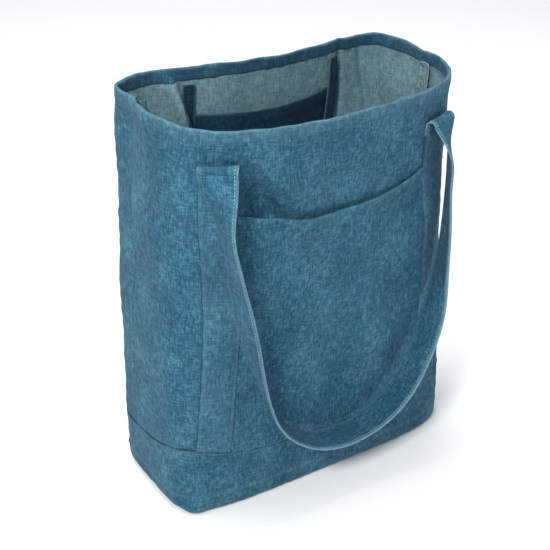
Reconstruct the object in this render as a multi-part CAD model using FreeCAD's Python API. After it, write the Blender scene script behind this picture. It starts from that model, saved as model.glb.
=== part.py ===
import FreeCAD, Part
import math
import os

# A tall, soft, unlined cloth bag with two strap handles.
# Millimetres.  +X is the bag's right as seen from its front, the front faces -Y, +Z is up.
# The origin is the centre of the underside of the base.

# Outline of the bag: a rounded rectangle at the base that becomes a rounder, leaning mouth.
BAG_HEIGHT = 380.0
BASE_HALF_WIDTH = 155.0
BASE_HALF_DEPTH = 73.5
BASE_SQUARENESS = 5.2
MOUTH_HALF_WIDTH = 144.5
MOUTH_FRONT_REACH = 105.5
MOUTH_BACK_REACH = 77.5
MOUTH_FRONT_SQUARENESS = 2.85
MOUTH_BACK_SQUARENESS = 4.9
MOUTH_SHIFT_X = 5.0
MOUTH_SHIFT_Y = 9.5
FLARE_POWER = 2.4
SQUARENESS_POWER = 0.7
BACK_DIP_DEPTH = 30.0
BACK_DIP_CENTRE = 26.0
BACK_DIP_HALF_WIDTH = 156.0
BACK_DIP_POWER = 3.0
BASE_EDGE_RADIUS = 10.0

# Heights at which the base band's outline is drawn, from the ground to its seam.
BASE_LEVELS = (0.0, 0.6, 2.5, 6.0, BASE_EDGE_RADIUS, 25.0, 42.0, 58.0)

# Cloth, straps and thread.
CLOTH = 1.4
GAP = 0.3
STRAP_WIDTH = 33.0
STRAP_THICKNESS = 2.4
THREAD_WIDTH = 1.0
THREAD_HEIGHT = 0.6
THREAD_CLEARANCE = 0.1
EDGE_STITCH_INSET = 3.0
STITCH_END_MARGIN = 4.0

# The side seams, measured along the cloth from the middle of each side.
LEFT_SEAM_BACK = 22.0
RIGHT_SEAM_FORWARD = 12.0

# Heights of the seams.
BASE_SEAM_HEIGHT = BASE_LEVELS[-1]
HEM_DEPTH = 15.0
HEM_STAND_OFF = 0.4 * CLOTH
HEM_THICKNESS = 1.8 * CLOTH
HEM_SIDE_GAP = 2.0
HEM_STITCH_HEIGHT = BAG_HEIGHT - 14.0
BASE_CREASE_HEIGHT = 20.0

# Sewn strap bands, measured along the cloth from the middle of the front or back: where the
# middle of the left and the right band is low down and at its top.
FRONT_BAND_CENTRES = {-1: (-113.5, -119.0), 1: (115.5, 98.5)}
BACK_BAND_CENTRES = {-1: (-103.0, -103.0), 1: (103.0, 103.0)}
BAND_LEAN_HEIGHT = 200.0
BAND_TOP = 338.0
BAND_CROSS_STITCH = 12.0

# Front patch pocket, held between the bands at its sides.
POCKET_SIDE_GAP = 0.6
POCKET_MOUTH_SIDE = 305.0
POCKET_MOUTH_MIDDLE = 286.0
POCKET_BULGE = 14.0
POCKET_BULGE_POWER = 0.8
POCKET_MOUTH_POWER = 0.7
POCKET_FLAT_HEIGHT = BASE_SEAM_HEIGHT + 30.0
POCKET_HEM_DEPTH = 14.0

# Inner pocket, bound by two tapes on the inside of the back.
INNER_POCKET_CENTRE = 10.8
INNER_POCKET_HALF_WIDTH = 70.5
INNER_POCKET_BOTTOM = 175.0
INNER_POCKET_MOUTH = 335.0
INNER_POCKET_BULGE = 13.0
TAPE_WIDTH = 12.0
TAPE_TOP = 364.0

# Raw seam allowances inside.
SIDE_ALLOWANCE_WIDTH = 12.0
SIDE_ALLOWANCE_THICKNESS = 2.0
SIDE_SEAM_STITCH_OFFSET = 3.0
BASE_ALLOWANCE_HEIGHT = 8.0

# The handles hinge on the folds at the tops of the sewn bands.
FOLD_AXIS_HEIGHT = 346.0
FOLD_INNER_STAND_OFF = 15.0
FOLD_OUTER_STAND_OFF = 8.0

# Stations of a hanging handle: distance along the cloth from the middle, height, how far the
# strap's back edge stands off the cloth, and the compass direction of its width (0 is +X, -90 is
# straight out of the front).
FRONT_HANDLE_STATIONS = (
    (-129.5, 330.0, 10.0, -62.0),
    (-122.0, 310.0, 9.5, -88.0),
    (-114.5, 285.0, 7.5, -98.0),
    (-110.0, 250.0, 6.0, -91.0),
    (-103.5, 210.0, 6.0, -86.0),
    (-93.0, 170.0, 6.5, -94.0),
    (-80.0, 130.0, 7.0, -103.0),
    (-63.0, 95.0, 7.0, -106.0),
    (-37.5, 68.0, 6.5, -96.0),
    (-3.0, 57.0, 6.0, -94.0),
    (37.0, 65.0, 6.5, -88.0),
    (66.0, 87.0, 7.0, -88.0),
    (86.0, 118.0, 7.0, -90.0),
    (100.0, 160.0, 6.5, -89.0),
    (112.0, 205.0, 6.0, -104.0),
    (118.5, 250.0, 6.5, -115.0),
    (117.0, 290.0, 7.5, -122.0),
    (111.5, 325.0, 9.0, -128.0),
)
BACK_HANDLE_STATIONS = (
    (-116.0, 330.0, 9.0, -15.0),
    (-114.0, 318.0, 9.0, -20.0),
    (-111.5, 306.0, 9.0, -34.0),
    (-108.0, 288.0, 7.5, -58.0),
    (-103.0, 262.0, 6.5, -80.0),
    (-98.0, 225.0, 6.0, -92.0),
    (-90.0, 180.0, 6.5, -95.0),
    (-79.0, 140.0, 7.0, -100.0),
    (-61.0, 100.0, 7.0, -103.0),
    (-36.0, 72.0, 6.5, -97.0),
    (-2.0, 60.0, 6.0, -93.0),
    (33.0, 68.0, 6.5, -89.0),
    (59.0, 90.0, 7.0, -88.0),
    (78.0, 122.0, 7.0, -88.0),
    (90.0, 165.0, 6.5, -88.0),
    (97.0, 212.0, 6.0, -90.0),
    (103.0, 255.0, 6.5, -100.0),
    (108.0, 288.0, 7.5, -122.0),
    (111.5, 306.0, 9.0, -146.0),
    (114.0, 318.0, 9.0, -160.0),
    (116.0, 330.0, 9.0, -165.0),
)

# How finely the outline is sampled, and how many samples its direction is taken over.
OUTLINE_SAMPLES = 1440
DIRECTION_REACH = 4


def mix(low, high, share):
    return low + (high - low) * share


def smooth(share):
    share = min(max(share, 0.0), 1.0)
    return share * share * (3.0 - 2.0 * share)


def signed_power(value, power):
    return math.copysign(abs(value) ** power, value)


class Ring:
    """The bag's outer outline at one height, walked by distance along the cloth."""

    known = {}

    def __init__(self, height):
        rise = min(max(height / BAG_HEIGHT, 0.0), 1.0)
        flare = rise ** FLARE_POWER
        corner = rise ** SQUARENESS_POWER
        half_width = mix(BASE_HALF_WIDTH, MOUTH_HALF_WIDTH, flare)
        reach = {
            "front": mix(BASE_HALF_DEPTH, MOUTH_FRONT_REACH, flare),
            "back": mix(BASE_HALF_DEPTH, MOUTH_BACK_REACH, flare),
        }
        squareness = {
            "front": mix(BASE_SQUARENESS, MOUTH_FRONT_SQUARENESS, corner),
            "back": mix(BASE_SQUARENESS, MOUTH_BACK_SQUARENESS, corner),
        }
        dip = BACK_DIP_DEPTH * rise ** BACK_DIP_POWER
        self.points = []
        for index in range(OUTLINE_SAMPLES):
            angle = math.pi + 2.0 * math.pi * index / OUTLINE_SAMPLES
            half = "front" if math.sin(angle) < 0.0 else "back"
            power = 2.0 / squareness[half]
            x = signed_power(math.cos(angle), power) * half_width
            y = signed_power(math.sin(angle), power) * reach[half]
            if half == "back":
                spread = 1.0 - ((x - BACK_DIP_CENTRE) / BACK_DIP_HALF_WIDTH) ** 2
                y -= dip * max(spread, 0.0) ** 2
            self.points.append((x + MOUTH_SHIFT_X * flare, y + MOUTH_SHIFT_Y * flare))
        self.distance = [0.0]
        for index in range(OUTLINE_SAMPLES):
            here = self.points[index]
            after = self.points[(index + 1) % OUTLINE_SAMPLES]
            self.distance.append(self.distance[-1] + math.dist(here, after))
        self.length = self.distance[-1]
        self.height = height
        self.front_middle = self.distance[OUTLINE_SAMPLES // 4]
        self.left_seam = -LEFT_SEAM_BACK
        self.right_seam = self.distance[OUTLINE_SAMPLES // 2] - RIGHT_SEAM_FORWARD
        self.back_middle = self.distance[3 * OUTLINE_SAMPLES // 4]

    def walk(self, distance):
        """Point and outward normal at a distance from the left side, counter-clockwise."""
        distance %= self.length
        low, high = 0, OUTLINE_SAMPLES
        while high - low > 1:
            middle = (low + high) // 2
            if self.distance[middle] <= distance:
                low = middle
            else:
                high = middle
        here = self.points[low]
        after = self.points[(low + 1) % OUTLINE_SAMPLES]
        step = self.distance[low + 1] - self.distance[low]
        share = (distance - self.distance[low]) / step if step > 0.0 else 0.0
        before = self.points[low - DIRECTION_REACH]
        beyond = self.points[(low + 1 + DIRECTION_REACH) % OUTLINE_SAMPLES]
        tangent_x, tangent_y = beyond[0] - before[0], beyond[1] - before[1]
        size = math.hypot(tangent_x, tangent_y)
        x = mix(here[0], after[0], share)
        y = mix(here[1], after[1], share)
        return x, y, tangent_y / size, -tangent_x / size


def ring(height):
    key = round(height, 3)
    if key not in Ring.known:
        Ring.known[key] = Ring(key)
    return Ring.known[key]


def spot(distance, height, offset):
    """A point at a distance round the ring from the left side, offset outward."""
    x, y, normal_x, normal_y = ring(height).walk(distance)
    return FreeCAD.Vector(x + normal_x * offset, y + normal_y * offset, height)


def front(distance, height, offset):
    """A point at a distance to the right of the front's middle."""
    return spot(ring(height).front_middle + distance, height, offset)


def back(distance, height, offset):
    """A point on the back, at a distance towards +X from the back's middle."""
    return spot(ring(height).back_middle - distance, height, offset)


def solid_from_faces(faces):
    shell = Part.makeShell(faces)
    shell.sewShape()
    solid = Part.makeSolid(shell)
    if solid.Volume < 0.0:
        solid.reverse()
    return solid


def sheet(place, columns, rows):
    """A thin curved solid.  place(u, v, side) gives its outer (side 0) and inner (side 1) points."""
    surfaces = []
    for side in (0, 1):
        grid = []
        for column in range(columns):
            u = column / (columns - 1)
            grid.append([place(u, row / (rows - 1), side) for row in range(rows)])
        surface = Part.BSplineSurface()
        surface.interpolate(grid)
        surfaces.append(surface)
    outer, inner = surfaces
    faces = [outer.toShape(), inner.toShape()]
    u_low, u_high, v_low, v_high = outer.bounds()
    u_low_in, u_high_in, v_low_in, v_high_in = inner.bounds()
    for outer_end, inner_end in ((u_low, u_low_in), (u_high, u_high_in)):
        edges = (outer.uIso(outer_end).toShape(), inner.uIso(inner_end).toShape())
        faces.append(Part.makeRuledSurface(*edges))
    for outer_end, inner_end in ((v_low, v_low_in), (v_high, v_high_in)):
        edges = (outer.vIso(outer_end).toShape(), inner.vIso(inner_end).toShape())
        faces.append(Part.makeRuledSurface(*edges))
    return solid_from_faces(faces)


def ribbon(middles, widths, normals, width, thickness):
    """A flat strip along a path, with its width and thickness directions given at each point."""
    corners = []
    for across, up in ((-1, -1), (1, -1), (1, 1), (-1, 1)):
        corners.append([
            middle + wide * (across * width / 2.0) + normal * (up * thickness / 2.0)
            for middle, wide, normal in zip(middles, widths, normals)
        ])
    edges = []
    for line in corners:
        curve = Part.BSplineCurve()
        curve.interpolate(line)
        edges.append(curve.toShape())
    faces = [Part.makeRuledSurface(edges[side], edges[(side + 1) % 4], 1) for side in range(4)]
    for end in (0, -1):
        loop = [line[end] for line in corners]
        faces.append(Part.Face(Part.makePolygon(loop + loop[:1])))
    return solid_from_faces(faces)


def thread(place, count):
    """A raised line of sewing thread.  place(share, offset) gives points on the cloth."""
    middles = [place(index / (count - 1), THREAD_HEIGHT / 2.0) for index in range(count)]
    normals = [
        (place(index / (count - 1), 1.0) - place(index / (count - 1), 0.0)).normalize()
        for index in range(count)
    ]
    widths = []
    for index, normal in enumerate(normals):
        ahead = middles[min(index + 1, count - 1)] - middles[max(index - 1, 0)]
        widths.append(ahead.cross(normal).normalize())
    return ribbon(middles, widths, normals, THREAD_WIDTH, THREAD_HEIGHT)


def closed_wire(height, inset):
    curve = Part.BSplineCurve()
    length = ring(height).length
    count = 72
    points = [spot(length * index / count, height, -inset) for index in range(count)]
    curve.interpolate(points, PeriodicFlag=True)
    return Part.Wire(curve.toShape())


def edge_inset(height):
    """How far the rounded bottom edge draws the outline in at a height."""
    if height >= BASE_EDGE_RADIUS:
        return 0.0
    rise = BASE_EDGE_RADIUS - height
    return BASE_EDGE_RADIUS - math.sqrt(BASE_EDGE_RADIUS ** 2 - rise ** 2)


def base_cloth():
    outer = Part.makeLoft([closed_wire(z, edge_inset(z)) for z in BASE_LEVELS], True, True)
    inner_heights = [z + CLOTH for z in BASE_LEVELS[:-1]] + [BASE_SEAM_HEIGHT + 2.0 * CLOTH]
    insets = [edge_inset(z) + CLOTH for z in BASE_LEVELS]
    hollow = [closed_wire(z, inset) for z, inset in zip(inner_heights, insets)]
    return outer.cut(Part.makeLoft(hollow, True, True))


def wall(start, end, low, high, outer, inner, columns=41, rows=9):
    """A layer of cloth round the bag.  start and end are functions of height."""

    def place(u, v, side):
        height = mix(low, high, v)
        distance = mix(start(ring(height)), end(ring(height)), u)
        return spot(distance, height, inner if side else outer)

    return sheet(place, columns, rows)


def front_half(margin):
    return lambda line: line.left_seam + margin, lambda line: line.right_seam - margin


def back_half(margin):
    def end(line):
        return line.left_seam + line.length - margin

    return lambda line: line.right_seam + margin, end


def body_panel(half):
    """A body panel with its turned-in hem: one layer of cloth, doubled over the hem's depth."""
    start, end = half(GAP / 2.0)
    panel = wall(start, end, BASE_SEAM_HEIGHT + GAP, BAG_HEIGHT - 1.0, 0.0, -CLOTH)
    start, end = half(HEM_SIDE_GAP)
    hem_low = BAG_HEIGHT - HEM_DEPTH
    hem_inner = HEM_STAND_OFF + HEM_THICKNESS
    hem = wall(start, end, hem_low, BAG_HEIGHT, -HEM_STAND_OFF, -hem_inner, rows=4)
    return panel.fuse(hem)


def band_centre(face, side_sign, height):
    low, high = (FRONT_BAND_CENTRES if face is front else BACK_BAND_CENTRES)[side_sign]
    return mix(low, high, smooth((height - BAND_LEAN_HEIGHT) / (BAND_TOP - BAND_LEAN_HEIGHT)))


def pocket_offset(u, height):
    """How far the front pocket stands off the panel: most at the middle of its mouth."""
    across = math.sin(math.pi * u) ** POCKET_BULGE_POWER
    up = smooth((height - POCKET_FLAT_HEIGHT) / (POCKET_MOUTH_MIDDLE - POCKET_FLAT_HEIGHT))
    return 2.0 * GAP + POCKET_BULGE * across * up


def pocket_mouth(u):
    return mix(POCKET_MOUTH_SIDE, POCKET_MOUTH_MIDDLE, math.sin(math.pi * u) ** POCKET_MOUTH_POWER)


def pocket_point(u, height, depth):
    left = band_centre(front, -1, height) + STRAP_WIDTH / 2.0 + POCKET_SIDE_GAP
    right = band_centre(front, 1, height) - STRAP_WIDTH / 2.0 - POCKET_SIDE_GAP
    return front(mix(left, right, u), height, pocket_offset(u, height) + depth)


def front_pocket():
    def place(u, v, side):
        height = mix(BASE_SEAM_HEIGHT + 2.0 * GAP, pocket_mouth(u), v)
        return pocket_point(u, height, 0.0 if side else CLOTH)

    return sheet(place, 41, 12)


def inner_pocket_point(u, height, depth):
    distance = INNER_POCKET_CENTRE + mix(-INNER_POCKET_HALF_WIDTH, INNER_POCKET_HALF_WIDTH, u)
    up = smooth((height - INNER_POCKET_BOTTOM) / (INNER_POCKET_MOUTH - INNER_POCKET_BOTTOM))
    bulge = INNER_POCKET_BULGE * math.sin(math.pi * u) * up
    return back(distance, height, -CLOTH - GAP - bulge - depth)


def inner_pocket():
    def place(u, v, side):
        height = mix(INNER_POCKET_BOTTOM, INNER_POCKET_MOUTH, v)
        return inner_pocket_point(u, height, CLOTH if side else 0.0)

    return sheet(place, 17, 9)


def inner_tape(side_sign):
    """A binding tape that covers one side edge of the inner pocket and runs up to the hem."""
    edge = INNER_POCKET_CENTRE + side_sign * (INNER_POCKET_HALF_WIDTH + GAP + TAPE_WIDTH / 2.0)

    def place(u, v, side):
        height = mix(INNER_POCKET_BOTTOM, TAPE_TOP, v)
        distance = edge + mix(-TAPE_WIDTH, TAPE_WIDTH, u) / 2.0
        return back(distance, height, -CLOTH - GAP - (CLOTH if side else 0.0))

    return sheet(place, 4, 9)


def band_point(face, side_sign, across, height, depth):
    """A point on a sewn band; across runs from its outer edge (0) to its inner edge (1)."""
    distance = band_centre(face, side_sign, height) + side_sign * STRAP_WIDTH * (0.5 - across)
    return face(distance, height, GAP + depth)


def strap_band(face, side_sign):
    def place(u, v, side):
        height = mix(BASE_SEAM_HEIGHT + 2.0 * GAP, BAND_TOP, v)
        return band_point(face, side_sign, u, height, 0.0 if side else STRAP_THICKNESS)

    return sheet(place, 13, 11)


def band_stitching(face):
    """Edge stitching down both sides of both bands, and a line across each band's top."""
    lines = []
    for side_sign in (-1, 1):
        for inset in (EDGE_STITCH_INSET, STRAP_WIDTH - EDGE_STITCH_INSET):

            def down(share, offset, across=inset / STRAP_WIDTH):
                low = BASE_SEAM_HEIGHT + STITCH_END_MARGIN
                height = mix(low, BAND_TOP - STITCH_END_MARGIN, share)
                lift = STRAP_THICKNESS + THREAD_CLEARANCE + offset
                return band_point(face, side_sign, across, height, lift)

            lines.append(thread(down, 11))

        def over(share, offset):
            margin = EDGE_STITCH_INSET + 1.5 * THREAD_WIDTH
            across = mix(margin, STRAP_WIDTH - margin, share)
            lift = STRAP_THICKNESS + THREAD_CLEARANCE + offset
            return band_point(face, side_sign, across / STRAP_WIDTH, BAND_TOP - BAND_CROSS_STITCH, lift)

        lines.append(thread(over, 7))
    return Part.makeCompound(lines)


def round_line(height, offset_base, start, end, count):
    def place(share, offset):
        return spot(mix(start, end, share), height, offset_base + offset)

    return thread(place, count)


def outside_line(height):
    """A thread line round the outside, in front and back halves that meet at the side seams."""
    lines = []
    for half in (front_half, back_half):
        start, end = half(1.0)
        line = ring(height)
        lines.append(round_line(height, THREAD_CLEARANCE, start(line), end(line), 41))
    return lines


def base_stitching():
    """The line that holds the base band's folded edge and the crease line near the ground."""
    lines = outside_line(BASE_SEAM_HEIGHT - EDGE_STITCH_INSET)
    lines += outside_line(BASE_CREASE_HEIGHT)
    return Part.makeCompound(lines)


def side_seam_stitching():
    lines = []
    for right in (False, True):
        def down(share, offset, right=right):
            high = BAG_HEIGHT - HEM_DEPTH - STITCH_END_MARGIN
            height = mix(BASE_SEAM_HEIGHT + STITCH_END_MARGIN, high, share)
            seam = ring(height).right_seam if right else ring(height).left_seam
            return spot(seam + SIDE_SEAM_STITCH_OFFSET, height, THREAD_CLEARANCE + offset)

        lines.append(thread(down, 11))
    return Part.makeCompound(lines)


def front_pocket_stitching():
    def along(share, offset):
        u = mix(0.05, 0.95, share)
        height = pocket_mouth(u) - POCKET_HEM_DEPTH
        return pocket_point(u, height, CLOTH + THREAD_CLEARANCE + offset)

    return thread(along, 41)


def inner_pocket_stitching():
    def along(share, offset):
        u = mix(0.03, 0.97, share)
        height = INNER_POCKET_MOUTH - POCKET_HEM_DEPTH
        return inner_pocket_point(u, height, CLOTH + THREAD_CLEARANCE + offset)

    lines = [thread(along, 15)]
    for side_sign in (-1, 1):
        middle = INNER_POCKET_CENTRE + side_sign * (INNER_POCKET_HALF_WIDTH + GAP + TAPE_WIDTH / 2.0)

        def down(share, offset, middle=middle):
            height = mix(INNER_POCKET_BOTTOM + STITCH_END_MARGIN, TAPE_TOP - STITCH_END_MARGIN, share)
            return back(middle, height, -2.0 * CLOTH - GAP - THREAD_CLEARANCE - offset)

        lines.append(thread(down, 9))
    return Part.makeCompound(lines)


def side_allowance(right):
    """The raw edges of the two panels, pressed flat together inside a side seam."""
    def start(line):
        seam = line.right_seam if right else line.left_seam
        return seam - SIDE_ALLOWANCE_WIDTH / 2.0

    def end(line):
        return start(line) + SIDE_ALLOWANCE_WIDTH

    low = BASE_SEAM_HEIGHT + BASE_ALLOWANCE_HEIGHT + 2.0
    high = BAG_HEIGHT - HEM_DEPTH - 1.0
    outer = -CLOTH - GAP
    return wall(start, end, low, high, outer, outer - SIDE_ALLOWANCE_THICKNESS, columns=5, rows=9)


def base_allowance():
    """The raw edges inside the seam between the panels and the base."""
    halves = []
    for half in (front_half, back_half):
        start, end = half(GAP)
        low = BASE_SEAM_HEIGHT + 1.0
        outer = -CLOTH - GAP
        high = low + BASE_ALLOWANCE_HEIGHT
        halves.append(wall(start, end, low, high, outer, outer - CLOTH, rows=4))
    return Part.makeCompound(halves)


def mirrored(vector, front_side):
    return vector if front_side else FreeCAD.Vector(vector.x, -vector.y, vector.z)


def handle_frame(front_side):
    """Middle points, width directions and faces of a hanging handle, from fold to fold."""
    face = front if front_side else back
    stations = FRONT_HANDLE_STATIONS if front_side else BACK_HANDLE_STATIONS
    middles, widths = [], []

    def fold_station(side_sign):
        centre = band_centre(face, side_sign, FOLD_AXIS_HEIGHT)
        reach = side_sign * STRAP_WIDTH / 2.0
        inner = face(centre - reach, FOLD_AXIS_HEIGHT, FOLD_INNER_STAND_OFF)
        outer = face(centre + reach, FOLD_AXIS_HEIGHT, FOLD_OUTER_STAND_OFF)
        return (inner + outer) * 0.5, (inner - outer).normalize()

    def add(middle, wide):
        middles.append(middle)
        widths.append(wide)

    add(*fold_station(-1))
    for distance, height, stand_off, angle in stations:
        turn = math.radians(angle)
        wide = mirrored(FreeCAD.Vector(math.cos(turn), math.sin(turn), 0.0), front_side)
        back_edge = face(distance, height, stand_off)
        add(back_edge + wide * (STRAP_WIDTH / 2.0), wide)
    add(*fold_station(1))
    normals = []
    for index, wide in enumerate(widths):
        ahead = middles[min(index + 1, len(middles) - 1)] - middles[max(index - 1, 0)]
        normals.append(ahead.cross(wide).normalize())
    return middles, widths, normals


def square_widths(middles, widths, normals):
    """Width directions square to both the path and the face normal."""
    squared = []
    for index, normal in enumerate(normals):
        ahead = middles[min(index + 1, len(middles) - 1)] - middles[max(index - 1, 0)]
        wide = normal.cross(ahead).normalize()
        squared.append(wide if wide.dot(widths[index]) > 0.0 else wide * -1.0)
    return squared


def handle(front_side):
    middles, widths, normals = handle_frame(front_side)
    widths = square_widths(middles, widths, normals)
    return ribbon(middles, widths, normals, STRAP_WIDTH, STRAP_THICKNESS)


def handle_stitching(front_side):
    """A thread line along each edge, on both faces of the handle."""
    middles, widths, normals = handle_frame(front_side)
    widths = square_widths(middles, widths, normals)
    inset = STRAP_WIDTH / 2.0 - EDGE_STITCH_INSET
    lift = STRAP_THICKNESS / 2.0 + THREAD_HEIGHT / 2.0 + THREAD_CLEARANCE
    lines = []
    for across in (-inset, inset):
        for up in (-lift, lift):
            path = [
                middle + wide * across + normal * up
                for middle, wide, normal in zip(middles, widths, normals)
            ]
            lines.append(ribbon(path, widths, normals, THREAD_WIDTH, THREAD_HEIGHT))
    return Part.makeCompound(lines)


def build():
    parts = {
        "base_cloth": base_cloth(),
        "front_panel": body_panel(front_half),
        "back_panel": body_panel(back_half),
        "front_pocket": front_pocket(),
        "inner_pocket": inner_pocket(),
        "inner_pocket_left_tape": inner_tape(-1),
        "inner_pocket_right_tape": inner_tape(1),
        "front_left_strap_band": strap_band(front, -1),
        "front_right_strap_band": strap_band(front, 1),
        "back_left_strap_band": strap_band(back, -1),
        "back_right_strap_band": strap_band(back, 1),
        "left_seam_allowance": side_allowance(False),
        "right_seam_allowance": side_allowance(True),
        "base_seam_allowance": base_allowance(),
        "rim_stitching": Part.makeCompound(outside_line(HEM_STITCH_HEIGHT)),
        "base_stitching": base_stitching(),
        "side_seam_stitching": side_seam_stitching(),
        "front_band_stitching": band_stitching(front),
        "back_band_stitching": band_stitching(back),
        "front_pocket_stitching": front_pocket_stitching(),
        "inner_pocket_stitching": inner_pocket_stitching(),
        "front_handle": handle(True),
        "front_handle_stitching": handle_stitching(True),
        "back_handle": handle(False),
        "back_handle_stitching": handle_stitching(False),
    }
    os.makedirs("parts", exist_ok=True)
    for name, shape in parts.items():
        shape.exportStep(f"parts/{name}.step")
        print(name, "valid", shape.isValid(), "solids", len(shape.Solids), "mm3", round(shape.Volume, 1))


build()
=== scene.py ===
import math

import bmesh
import bpy
import numpy as np
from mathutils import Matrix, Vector


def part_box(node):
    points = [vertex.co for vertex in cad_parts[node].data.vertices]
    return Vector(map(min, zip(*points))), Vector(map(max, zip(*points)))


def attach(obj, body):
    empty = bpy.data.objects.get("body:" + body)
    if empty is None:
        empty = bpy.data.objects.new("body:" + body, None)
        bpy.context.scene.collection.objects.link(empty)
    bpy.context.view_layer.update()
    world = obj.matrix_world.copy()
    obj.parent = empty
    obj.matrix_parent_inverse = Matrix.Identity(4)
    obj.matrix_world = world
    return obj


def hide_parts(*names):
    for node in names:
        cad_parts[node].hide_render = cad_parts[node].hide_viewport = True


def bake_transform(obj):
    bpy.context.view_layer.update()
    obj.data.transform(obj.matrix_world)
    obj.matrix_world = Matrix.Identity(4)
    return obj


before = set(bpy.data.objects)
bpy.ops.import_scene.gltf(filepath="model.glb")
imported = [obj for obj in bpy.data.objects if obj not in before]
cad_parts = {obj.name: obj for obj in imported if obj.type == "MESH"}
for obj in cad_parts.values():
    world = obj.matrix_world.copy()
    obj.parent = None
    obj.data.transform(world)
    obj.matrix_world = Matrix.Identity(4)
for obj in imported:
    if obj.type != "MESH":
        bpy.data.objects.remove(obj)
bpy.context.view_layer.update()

# A tall soft cloth bag with two strap handles, in metres.  s is the distance round the bag from
# the middle of the front towards +X, z the height, and out the distance off the outer outline.
# A face is "front" or "back", and a sign is -1 on the left and 1 on the right of the front.

# The outline: a rounded rectangle that changes from the base to the mouth.
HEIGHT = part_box("back_panel")[1].z
BASE_HALF_WIDTH = 0.155
BASE_HALF_DEPTH = 0.0735
BASE_SQUARENESS = 5.2
MOUTH_HALF_WIDTH = 0.1445
MOUTH_REACH = {"front": 0.1055, "back": 0.0775}
MOUTH_SQUARENESS = {"front": 2.85, "back": 4.9}
MOUTH_SHIFT = (0.005, 0.0095)
FLARE_POWER = 2.4
SQUARENESS_POWER = 0.7
BACK_DIP_DEPTH = 0.030
BACK_DIP_CENTRE = 0.026
BACK_DIP_HALF_WIDTH = 0.156
BACK_DIP_POWER = 3.0
BASE_EDGE_RADIUS = 0.010
LEFT_SEAM_BACK = 0.022
RIGHT_SEAM_FORWARD = 0.012
# Bends of the left side seam, as hills over the height.
LEFT_SEAM_BENDS = ((0.0075, 0.224, 0.018), (0.003, 0.190, 0.030))

# Cloths, the rim's hem, straps and their sewn bands, pockets and tapes.
CLOTH = 0.0014
GAP = 0.0003
STRAP_WIDTH = 0.033
STRAP_THICKNESS = 0.0024
EDGE_STITCH_INSET = 0.003
STITCH_ACROSS = STRAP_WIDTH / 2.0 - EDGE_STITCH_INSET
BASE_SEAM_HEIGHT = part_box("base_cloth")[1].z
# Rises and the dip of the base seam, as hills over the distance round the bag.
BASE_SEAM_RISES = ((0.0135, -0.145, 0.045), (0.006, 0.150, 0.050), (-0.003, 0.0, 0.095))
BASE_SEAM_LIFT = 0.0012
HEM_DEPTH = 0.015
HEM_INSIDE_DEPTH = 0.0118
HEM_STITCH_HEIGHT = HEIGHT - 0.014
BAND_CENTRES = {
    "front": {-1: (-0.1135, -0.1190), 1: (0.1155, 0.0985)},
    "back": {-1: (-0.1030, -0.1030), 1: (0.1030, 0.1030)},
}
BAND_LEAN_HEIGHT = 0.200
BAND_FOOT_HEIGHT = 0.190
BAND_FOOT_SHIFT = {-1: -0.0095, 1: 0.0}
BAND_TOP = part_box("front_left_strap_band")[1].z
POCKET_TUCK = 0.0015
POCKET_MOUTH_SIDE = 0.306
POCKET_MOUTH_MIDDLE = 0.290
POCKET_HEM_DEPTH = 0.014
INNER_POCKET_CENTRE = 0.0108
INNER_POCKET_HALF_WIDTH = 0.0705
INNER_POCKET_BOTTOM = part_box("inner_pocket")[0].z
INNER_POCKET_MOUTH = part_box("inner_pocket")[1].z
INNER_POCKET_BULGE = 0.013
TAPE_WIDTH = 0.012
TAPE_OVERLAP = 0.0005
TAPE_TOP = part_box("inner_pocket_left_tape")[1].z
SIDE_ALLOWANCE_WIDTH = 0.012
FOLD_HEIGHT = 0.346
FOLD_STAND_OFF = 0.0105

# Stations of a hanging handle: distance along the cloth from the middle, height, how far the
# strap's back edge stands off the cloth, and the compass direction of its width in degrees.
FRONT_STATIONS = (
    (-0.1295, 0.330, 0.0100, -62.0),
    (-0.1220, 0.310, 0.0095, -88.0),
    (-0.1145, 0.285, 0.0075, -98.0),
    (-0.1100, 0.250, 0.0060, -91.0),
    (-0.1035, 0.210, 0.0060, -86.0),
    (-0.0930, 0.170, 0.0065, -94.0),
    (-0.0800, 0.130, 0.0070, -103.0),
    (-0.0630, 0.095, 0.0070, -106.0),
    (-0.0375, 0.068, 0.0065, -96.0),
    (-0.0030, 0.057, 0.0060, -94.0),
    (0.0370, 0.065, 0.0065, -88.0),
    (0.0660, 0.087, 0.0070, -88.0),
    (0.0860, 0.118, 0.0070, -90.0),
    (0.1015, 0.160, 0.0065, -92.0),
    (0.1155, 0.205, 0.0060, -109.0),
    (0.1195, 0.250, 0.0065, -117.0),
    (0.1170, 0.290, 0.0075, -122.0),
    (0.1115, 0.325, 0.0090, -128.0),
)
BACK_STATIONS = (
    (-0.1160, 0.330, 0.0090, -15.0),
    (-0.1140, 0.318, 0.0090, -20.0),
    (-0.1115, 0.306, 0.0090, -34.0),
    (-0.1080, 0.288, 0.0075, -58.0),
    (-0.1030, 0.262, 0.0065, -80.0),
    (-0.0980, 0.225, 0.0060, -92.0),
    (-0.0900, 0.180, 0.0065, -95.0),
    (-0.0790, 0.140, 0.0070, -100.0),
    (-0.0610, 0.100, 0.0070, -103.0),
    (-0.0360, 0.072, 0.0065, -97.0),
    (-0.0020, 0.060, 0.0060, -93.0),
    (0.0330, 0.068, 0.0065, -89.0),
    (0.0590, 0.090, 0.0070, -88.0),
    (0.0780, 0.122, 0.0070, -88.0),
    (0.0900, 0.165, 0.0065, -88.0),
    (0.0970, 0.212, 0.0060, -90.0),
    (0.1030, 0.255, 0.0065, -100.0),
    (0.1080, 0.288, 0.0075, -122.0),
    (0.1115, 0.306, 0.0090, -146.0),
    (0.1140, 0.318, 0.0090, -160.0),
    (0.1160, 0.330, 0.0090, -165.0),
)

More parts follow.
